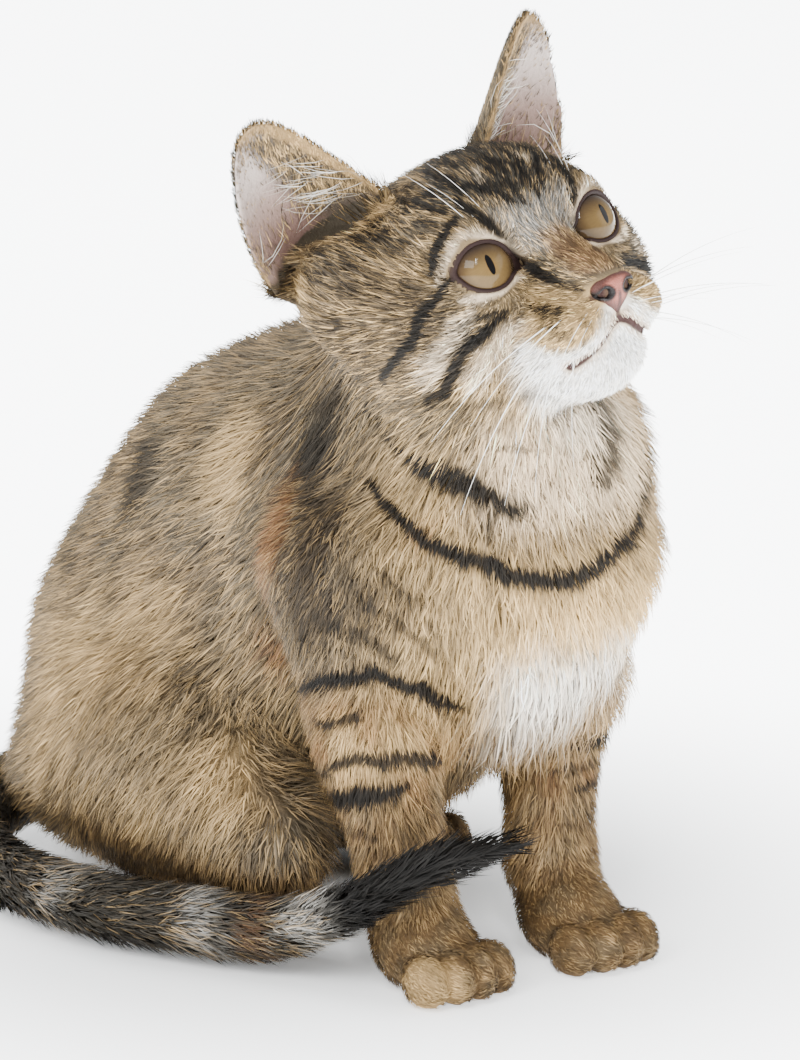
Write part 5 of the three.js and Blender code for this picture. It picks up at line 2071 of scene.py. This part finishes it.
def whisker_ways(side, chance):
    """Root, direction, bend's direction and length of each whisker of one side, in the head's frame."""
    found = []
    roots = iter(whisker_roots(side))
    for (_, _, count), (first, short, last, long) in zip(WHISKER_ROWS, WHISKER_FANS[side]):
        for share in np.linspace(0, 1, count):
            way = unit(mix(np.array(first), np.array(last), share) + chance.normal(0, 0.05, 3))
            length = mix(short, long, share**0.8) * chance.uniform(0.85, 1.08)
            found.append((next(roots), way, WHISKER_DROOP, length))
    for root in on_skull(np.array([mirrored(np.array(place, float), side) for place in BROW_WHISKERS])):
        way = unit(np.array([side * 0.3, 0.35, 0.9]) + chance.normal(0, 0.08, 3))
        found.append((root, way, BROW_BEND, 20 * chance.uniform(0.8, 1.2)))
    return [(root, way, bend, within_room(root, way, bend, length)) for root, way, bend, length in found]


def within_room(root, way, bend, length):
    """The length that keeps a whisker near the solids' box."""
    low, high = (np.array(corner) / MM for corner in CAD_BOX)
    while length > WHISKER_LEAST:
        tip = from_head(root + way * length + bend * WHISKER_BEND * length) + SHIFT
        if (tip > low - WHISKER_ROOM).all() and (tip < high + WHISKER_ROOM).all():
            break
        length *= 0.95
    return length


def build_whiskers(material, thickness):
    """Both sides' whiskers as one plain mesh, drawn by geometry nodes from points."""
    chance = np.random.default_rng(12)
    found = [entry for side in (-1, 1) for entry in whisker_ways(side, chance)]
    piece = new_mesh("whiskers", from_head(np.array([root for root, *_ in found])))
    turns = []
    for _, way, bend, _ in found:
        out = Vector(way @ HEAD_TURN.T)
        droop = Vector(unit(bend) @ HEAD_TURN.T)
        across = (droop - droop.dot(out) * out).normalized()
        turns.append(Matrix((across, out.cross(across), out)).transposed().to_euler())
    turn = piece.data.attributes.new("turn", "FLOAT_VECTOR", "POINT")
    turn.data.foreach_set("vector", np.array(turns, np.float32).ravel())
    length = piece.data.attributes.new("length", "FLOAT", "POINT")
    length.data.foreach_set("value", np.array([entry[3] * MM for entry in found], np.float32))
    modifier = piece.modifiers.new("whiskers", "NODES")
    modifier.node_group = whisker_tree(material)
    sockets = modifier.node_group.interface.items_tree
    modifier[next(item.identifier for item in sockets if item.name == "Thickness")] = thickness
    made_plain(piece)
    if not len(piece.data.polygons):
        raise RuntimeError("the whiskers' nodes made no faces")
    return piece


# ---- the add-on


def amount(name, description, default, least, most):
    return bpy.props.FloatProperty(name=name, description=description, default=default, min=least, max=most)


def slit_size(name, description, default):
    return bpy.props.FloatProperty(
        name=name, description=description, default=default, subtype="DISTANCE", unit="LENGTH",
    )


def tint(name, description, *values):
    return bpy.props.FloatVectorProperty(
        name=name, description=description, default=tuple(linear(*values)),
        subtype="COLOR", size=3, min=0, max=1,
    )


class KITTEN_PG_hair(bpy.types.PropertyGroup):
    """Lengths of the coat, in millimetres."""

    face: amount("Face", "Length of hair on the muzzle, mm", 2.6, 0.5, 8)
    head: amount("Head", "Length of hair on crown and cheeks, mm", 6.5, 1, 15)
    body: amount("Body", "Length of hair on back and sides, mm", 10.5, 2, 30)
    chest: amount("Chest", "Length of hair on neck and chest, mm", 12.5, 2, 30)
    leg: amount("Leg", "Length of hair on the legs, mm", 7.5, 1, 20)
    paw: amount("Paw", "Length of hair on the paws, mm", 3.2, 0.5, 10)
    tail: amount("Tail", "Length of hair on the tail, mm", 11.5, 2, 25)
    ear: amount("Ear", "Length of hair on the ears' backs, mm", 3.2, 0.5, 8)
    fullness: amount("Fullness", "Number of hairs against the usual", 1.0, 0.05, 1.2)


class KITTEN_PG_tints(bpy.types.PropertyGroup):
    """Colours of the coat's markings and of the bare skin."""

    tan: tint("Tan", "Light bands of the ticked coat", 104, 89, 66)
    grey: tint("Grey", "Cool parts of the ticked coat", 76, 71, 62)
    black: tint("Black", "Stripes and the tail's tip", 15, 13, 11)
    brown: tint("Brown", "Shaded parts of the back", 46, 38, 28)
    orange: tint("Orange", "Red patches and the bridge of the nose", 112, 74, 40)
    cream: tint("Cream", "Muzzle, bib and belly", 221, 182, 122)
    white: tint("White", "Chin", 254, 250, 242)
    gold: tint("Gold", "Legs", 108, 85, 56)
    nose: tint("Nose", "Leather of the nose", 138, 80, 68)
    rim: tint("Rim", "Rims of the lids", 36, 24, 22)


class KITTEN_PG_eyes(bpy.types.PropertyGroup):
    """Colours of the eyes and the size of their slits."""

    inner: tint("Inner iris", "Iris next to the slit", 102, 82, 47)
    iris: tint("Iris", "Middle of the iris", 95, 76, 46)
    outer: tint("Outer iris", "Rim of the iris", 66, 51, 31)
    slit_width: slit_size("Slit width", "Width of the pupil", 0.0018)
    slit_height: slit_size("Slit height", "Height of the pupil", 0.0052)


class KITTEN_PG_whiskers(bpy.types.PropertyGroup):
    """Sizes of the whiskers."""

    thickness: amount("Thickness", "Radius of a whisker against its length", 0.0042, 0.001, 0.02)


def shades(scene):
    """The coat's colours as plain arrays."""
    names = KITTEN_PG_tints.__annotations__
    return SimpleNamespace(**{name: np.array(getattr(scene.kitten_tints, name)) for name in names})


class KITTEN_OT_skin(bpy.types.Operator):
    """Builds the one skin that stands for all the flesh, and sows the coat's roots on it"""

    bl_idname = "kitten.skin"
    bl_label = "Skin"

    def execute(self, context):
        scene = context.scene
        skin = build_skin()
        unwrap(skin)
        grow_roots(skin, scene.kitten_hair, shades(scene))
        paint_skin(skin, shades(scene))
        material = painted("skin", roughness=0.75, specular_ior_level=0.15)
        add_bump(material, 900.0, 0.0004)
        eyes = {"eye_right", "eye_left", "nose"}
        finish_piece(skin, material, "coat", *[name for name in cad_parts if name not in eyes])
        return {"FINISHED"}


LIP_LINE_AND_NOSE_HOLE_SHADE = (52, 34, 32)


def paint_skin(skin, t):
    """The coat's own markings on the skin, 0.8 as bright under the coat as painted shade beneath the hair,
    darker in the lips' line with painted shade in the nostrils, and pink in the ears.
    """
    spots = Places(places(skin.data), vertex_normals(skin.data))
    # the skin under the coat is painted 0.8 as bright as the coat, as painted shade beneath the hair; the
    # bare hollows of the ears keep full brightness
    colours = spots.colours(t) * mix(0.8, 1.0, spots.ear_inside())[:, None]
    line = np.minimum(lips_distance(spots.local), distance_to_line(spots.local, PHILTRUM) + 0.3)
    close = smooth(1.3, 0.6, line)
    # the skin within the nostrils is painted the lips' dark colour, as painted shade in the holes; the lips'
    # line itself is its own dark colour
    close = np.maximum(close, smooth(0.8, 0.1, nostrils(spots.local)) * (spots.local[:, 1] < -38))
    colours = lay(colours, linear(*LIP_LINE_AND_NOSE_HOLE_SHADE), close)
    colours = lay(colours, t.rim, 0.8 * smooth(1.6, 0.6, spots.lid_gap))
    paint(skin.data, "coat", np.clip(colours, 0, 1))


class KITTEN_OT_eyes(bpy.types.Operator):
    """Builds both eyeballs"""

    bl_idname = "kitten.eyes"
    bl_label = "Eyes"

    def execute(self, context):
        material = eye_material(context.scene.kitten_eyes)
        for name, side in SIDES.items():
            finish_piece(build_eye(side), material, "eye", f"eye_{name}")
        return {"FINISHED"}


class KITTEN_OT_lids(bpy.types.Operator):
    """Builds the dark-rimmed lids round both eyes"""

    bl_idname = "kitten.lids"
    bl_label = "Eyelids"

    def execute(self, context):
        tints = shades(context.scene)
        material = painted("eyelid", roughness=0.6, specular_ior_level=0.12)
        for side in SIDES.values():
            piece, darkness = build_lids(side)
            points = places(piece.data)
            fur = Places(points, vertex_normals(piece.data)).colours(tints)
            # the lids take the coat's colours at 0.8 brightness, as painted shade like the skin's under the
            # coat, beneath their own dark rim
            paint(piece.data, "coat", lay(fur * 0.8, np.array(tints.rim), darkness))
            finish_piece(piece, material, "coat")
        return {"FINISHED"}


NOSE_EDGE, NOSE_GROOVE_SHADE, NOSTRIL_SHADE = (52, 34, 31), (44, 26, 25), (14, 9, 9)


class KITTEN_OT_nose(bpy.types.Operator):
    """Builds the bare leather of the nose"""

    bl_idname = "kitten.nose"
    bl_label = "Nose"

    def execute(self, context):
        tints = shades(context.scene)
        piece = build_nose()
        local = into_head(places(piece.data))
        edge = smooth(-2.4, -0.4, nose_wedge(local, 0))
        colour = lay(spread(tints.nose, local), linear(*NOSE_EDGE), 0.85 * edge)
        # the groove down the middle of the leather is painted dark, as painted shade in the crease
        groove = smooth(0.8, 0.3, np.abs(local[:, 0])) * smooth(-14.5, -16.5, local[:, 2])
        colour = lay(colour, linear(*NOSE_GROOVE_SHADE), 0.8 * groove)
        # the nostrils are painted near black, as painted shade in the holes
        dark = smooth(1.3, 0.5, nostrils(local))
        colour = lay(colour, linear(*NOSTRIL_SHADE), dark)
        paint(piece.data, "coat", colour)
        material = painted("nose leather", roughness=0.45, specular_ior_level=0.2)
        add_bump(material, 2600.0, 0.00022, 1.0)
        finish_piece(piece, material, "nose_leather", "nose")
        return {"FINISHED"}


class KITTEN_OT_coat(bpy.types.Operator):
    """Grows the coat, piece by piece, as joined tufts"""

    bl_idname = "kitten.coat"
    bl_label = "Coat"

    def execute(self, context):
        if not GROWN:
            raise RuntimeError("the skin comes before the coat")
        tints = shades(context.scene)
        plain = fur_material("fur", tints)
        own = {
            ("coat_face", "coat_head"): fur_material("fur of the head", tints, HEAD_STROKES, True),
            ("coat_neck", "coat_chest"): fur_material("fur of the chest", tints, BODY_STROKES),
            ("coat_fore",): fur_material("fur of the forelegs", tints, BODY_STROKES + LEG_STROKES),
        }
        for name in COAT_PIECES:
            found = [material for starts, material in own.items() if name.startswith(starts)]
            finish_piece(grow_piece(name, tints), (found + [plain])[0], "coat")
        finish_piece(ear_hair(tints), plain, "coat")
        return {"FINISHED"}


WHISKER_COLOUR = (240, 238, 232)


class KITTEN_OT_whiskers(bpy.types.Operator):
    """Draws the whiskers on the muzzle and over the eyes"""

    bl_idname = "kitten.whiskers"
    bl_label = "Whiskers"

    def execute(self, context):
        material = new_material("whisker", linear(*WHISKER_COLOUR), roughness=0.3)
        piece = build_whiskers(material, context.scene.kitten_whiskers.thickness)
        finish_piece(piece, material, "coat")
        return {"FINISHED"}


PALE_LIGHT = (0.97, 0.99, 1.0, 1)
GLOW_REACH, GLOW = (0.03, 0.27), 7.0  # where the glow starts and is full, in metres, and its strength


def add_floor():
    """A wide white floor that glows away from the kitten, as paper lit on its own does."""
    bpy.ops.mesh.primitive_plane_add(size=30, location=(0, 0, 0))
    floor = bpy.context.object
    floor.name = "floor"
    material = new_material("floor", (0.95, 0.96, 0.96), roughness=0.9)
    shader_of(material).inputs["Emission Color"].default_value = PALE_LIGHT
    place = own_place(material)
    reach = add_node(place.id_data, "ShaderNodeVectorMath", {0: place}, operation="LENGTH")
    feed(material, "Emission Strength", eased(reach.outputs["Value"], *GLOW_REACH, GLOW))
    floor.data.materials.append(material)


def aim(thing, place, target):
    thing.location = place
    thing.rotation_euler = (Vector(target) - Vector(place)).to_track_quat("-Z", "Y").to_euler()


LAMPS = (  # name, place and size in metres, power in watts
    ("key", (-1.42, -0.88, 1.25), (0.9, 0.8), 38.0),
    ("strip left", (-0.78, -1.02, 1.36), (0.035, 0.55), 8.0),
    ("strip right", (-0.66, -1.10, 1.36), (0.035, 0.55), 8.0),
    ("fill", (1.5, -1.0, 0.8), (1.2, 1.2), 12.0),
    ("rim", (-0.6, 1.4, 1.3), (1.2, 1.2), 24.0),
)
LAMP_TARGET = (0, -0.03, 0.12)


class KITTEN_OT_stage(bpy.types.Operator):
    """Sets the pale floor, the soft light and the camera"""

    bl_idname = "kitten.stage"
    bl_label = "Stage"

    def execute(self, context):
        scene = context.scene
        add_floor()
        world = bpy.data.worlds.new("studio")
        scene.world = world
        world.use_nodes = True
        background = world.node_tree.nodes["Background"]
        background.inputs["Color"].default_value = PALE_LIGHT
        background.inputs["Strength"].default_value = 1.05
        for name, place, size, power in LAMPS:
            lamp = bpy.data.lights.new(name, "AREA")
            lamp.shape, lamp.energy = "RECTANGLE", power
            lamp.size, lamp.size_y = size
            lit = bpy.data.objects.new(name, lamp)
            scene.collection.objects.link(lit)
            aim(lit, place, LAMP_TARGET)
        add_camera(scene)
        return {"FINISHED"}


CAMERA_TARGET = np.array([-19.8, -33.5, 107.8])  # millimetres, in the kitten's own frame
CAMERA_AROUND, CAMERA_ABOVE, CAMERA_AWAY = -35, 13, 1100  # degrees, degrees, millimetres
CAMERA_LENS, CAMERA_SENSOR = 155.0, 36.0  # millimetres


def add_camera(scene):
    around, above = math.radians(CAMERA_AROUND), math.radians(CAMERA_ABOVE)
    way = np.array([
        math.sin(around) * math.cos(above), -math.cos(around) * math.cos(above), math.sin(above)
    ])
    target = (CAMERA_TARGET + SHIFT) * MM
    lens = bpy.data.cameras.new("camera")
    lens.lens, lens.sensor_width = CAMERA_LENS, CAMERA_SENSOR
    camera = bpy.data.objects.new("camera", lens)
    scene.collection.objects.link(camera)
    aim(camera, target + way * CAMERA_AWAY * MM, target)
    scene.camera = camera


class KITTEN_PT_panel(bpy.types.Panel):
    """Lists the kitten's pieces and sizes"""

    bl_label = "Kitten"
    bl_space_type = "VIEW_3D"
    bl_region_type = "UI"
    bl_category = "Kitten"

    def draw(self, context):
        for group in GROUPS:
            box = self.layout.box()
            values = getattr(context.scene, group)
            for name in values.bl_rna.properties.keys():
                if name not in ("rna_type", "name"):
                    box.prop(values, name)
        for operator in OPERATORS:
            self.layout.operator(operator.bl_idname)


OPERATORS = (
    KITTEN_OT_skin, KITTEN_OT_eyes, KITTEN_OT_lids, KITTEN_OT_nose, KITTEN_OT_coat, KITTEN_OT_whiskers,
    KITTEN_OT_stage,
)
GROUPS = {
    "kitten_hair": KITTEN_PG_hair,
    "kitten_tints": KITTEN_PG_tints,
    "kitten_eyes": KITTEN_PG_eyes,
    "kitten_whiskers": KITTEN_PG_whiskers,
}


def register():
    for thing in (*GROUPS.values(), *OPERATORS, KITTEN_PT_panel):
        bpy.utils.register_class(thing)
    for name, group in GROUPS.items():
        setattr(bpy.types.Scene, name, bpy.props.PointerProperty(type=group))


def unregister():
    for name in GROUPS:
        delattr(bpy.types.Scene, name)
    for thing in reversed((*GROUPS.values(), *OPERATORS, KITTEN_PT_panel)):
        bpy.utils.unregister_class(thing)


def main():
    register()
    for operator in OPERATORS:
        getattr(bpy.ops.kitten, operator.bl_idname.split(".")[1])()


if __name__ == "__main__":
    main()
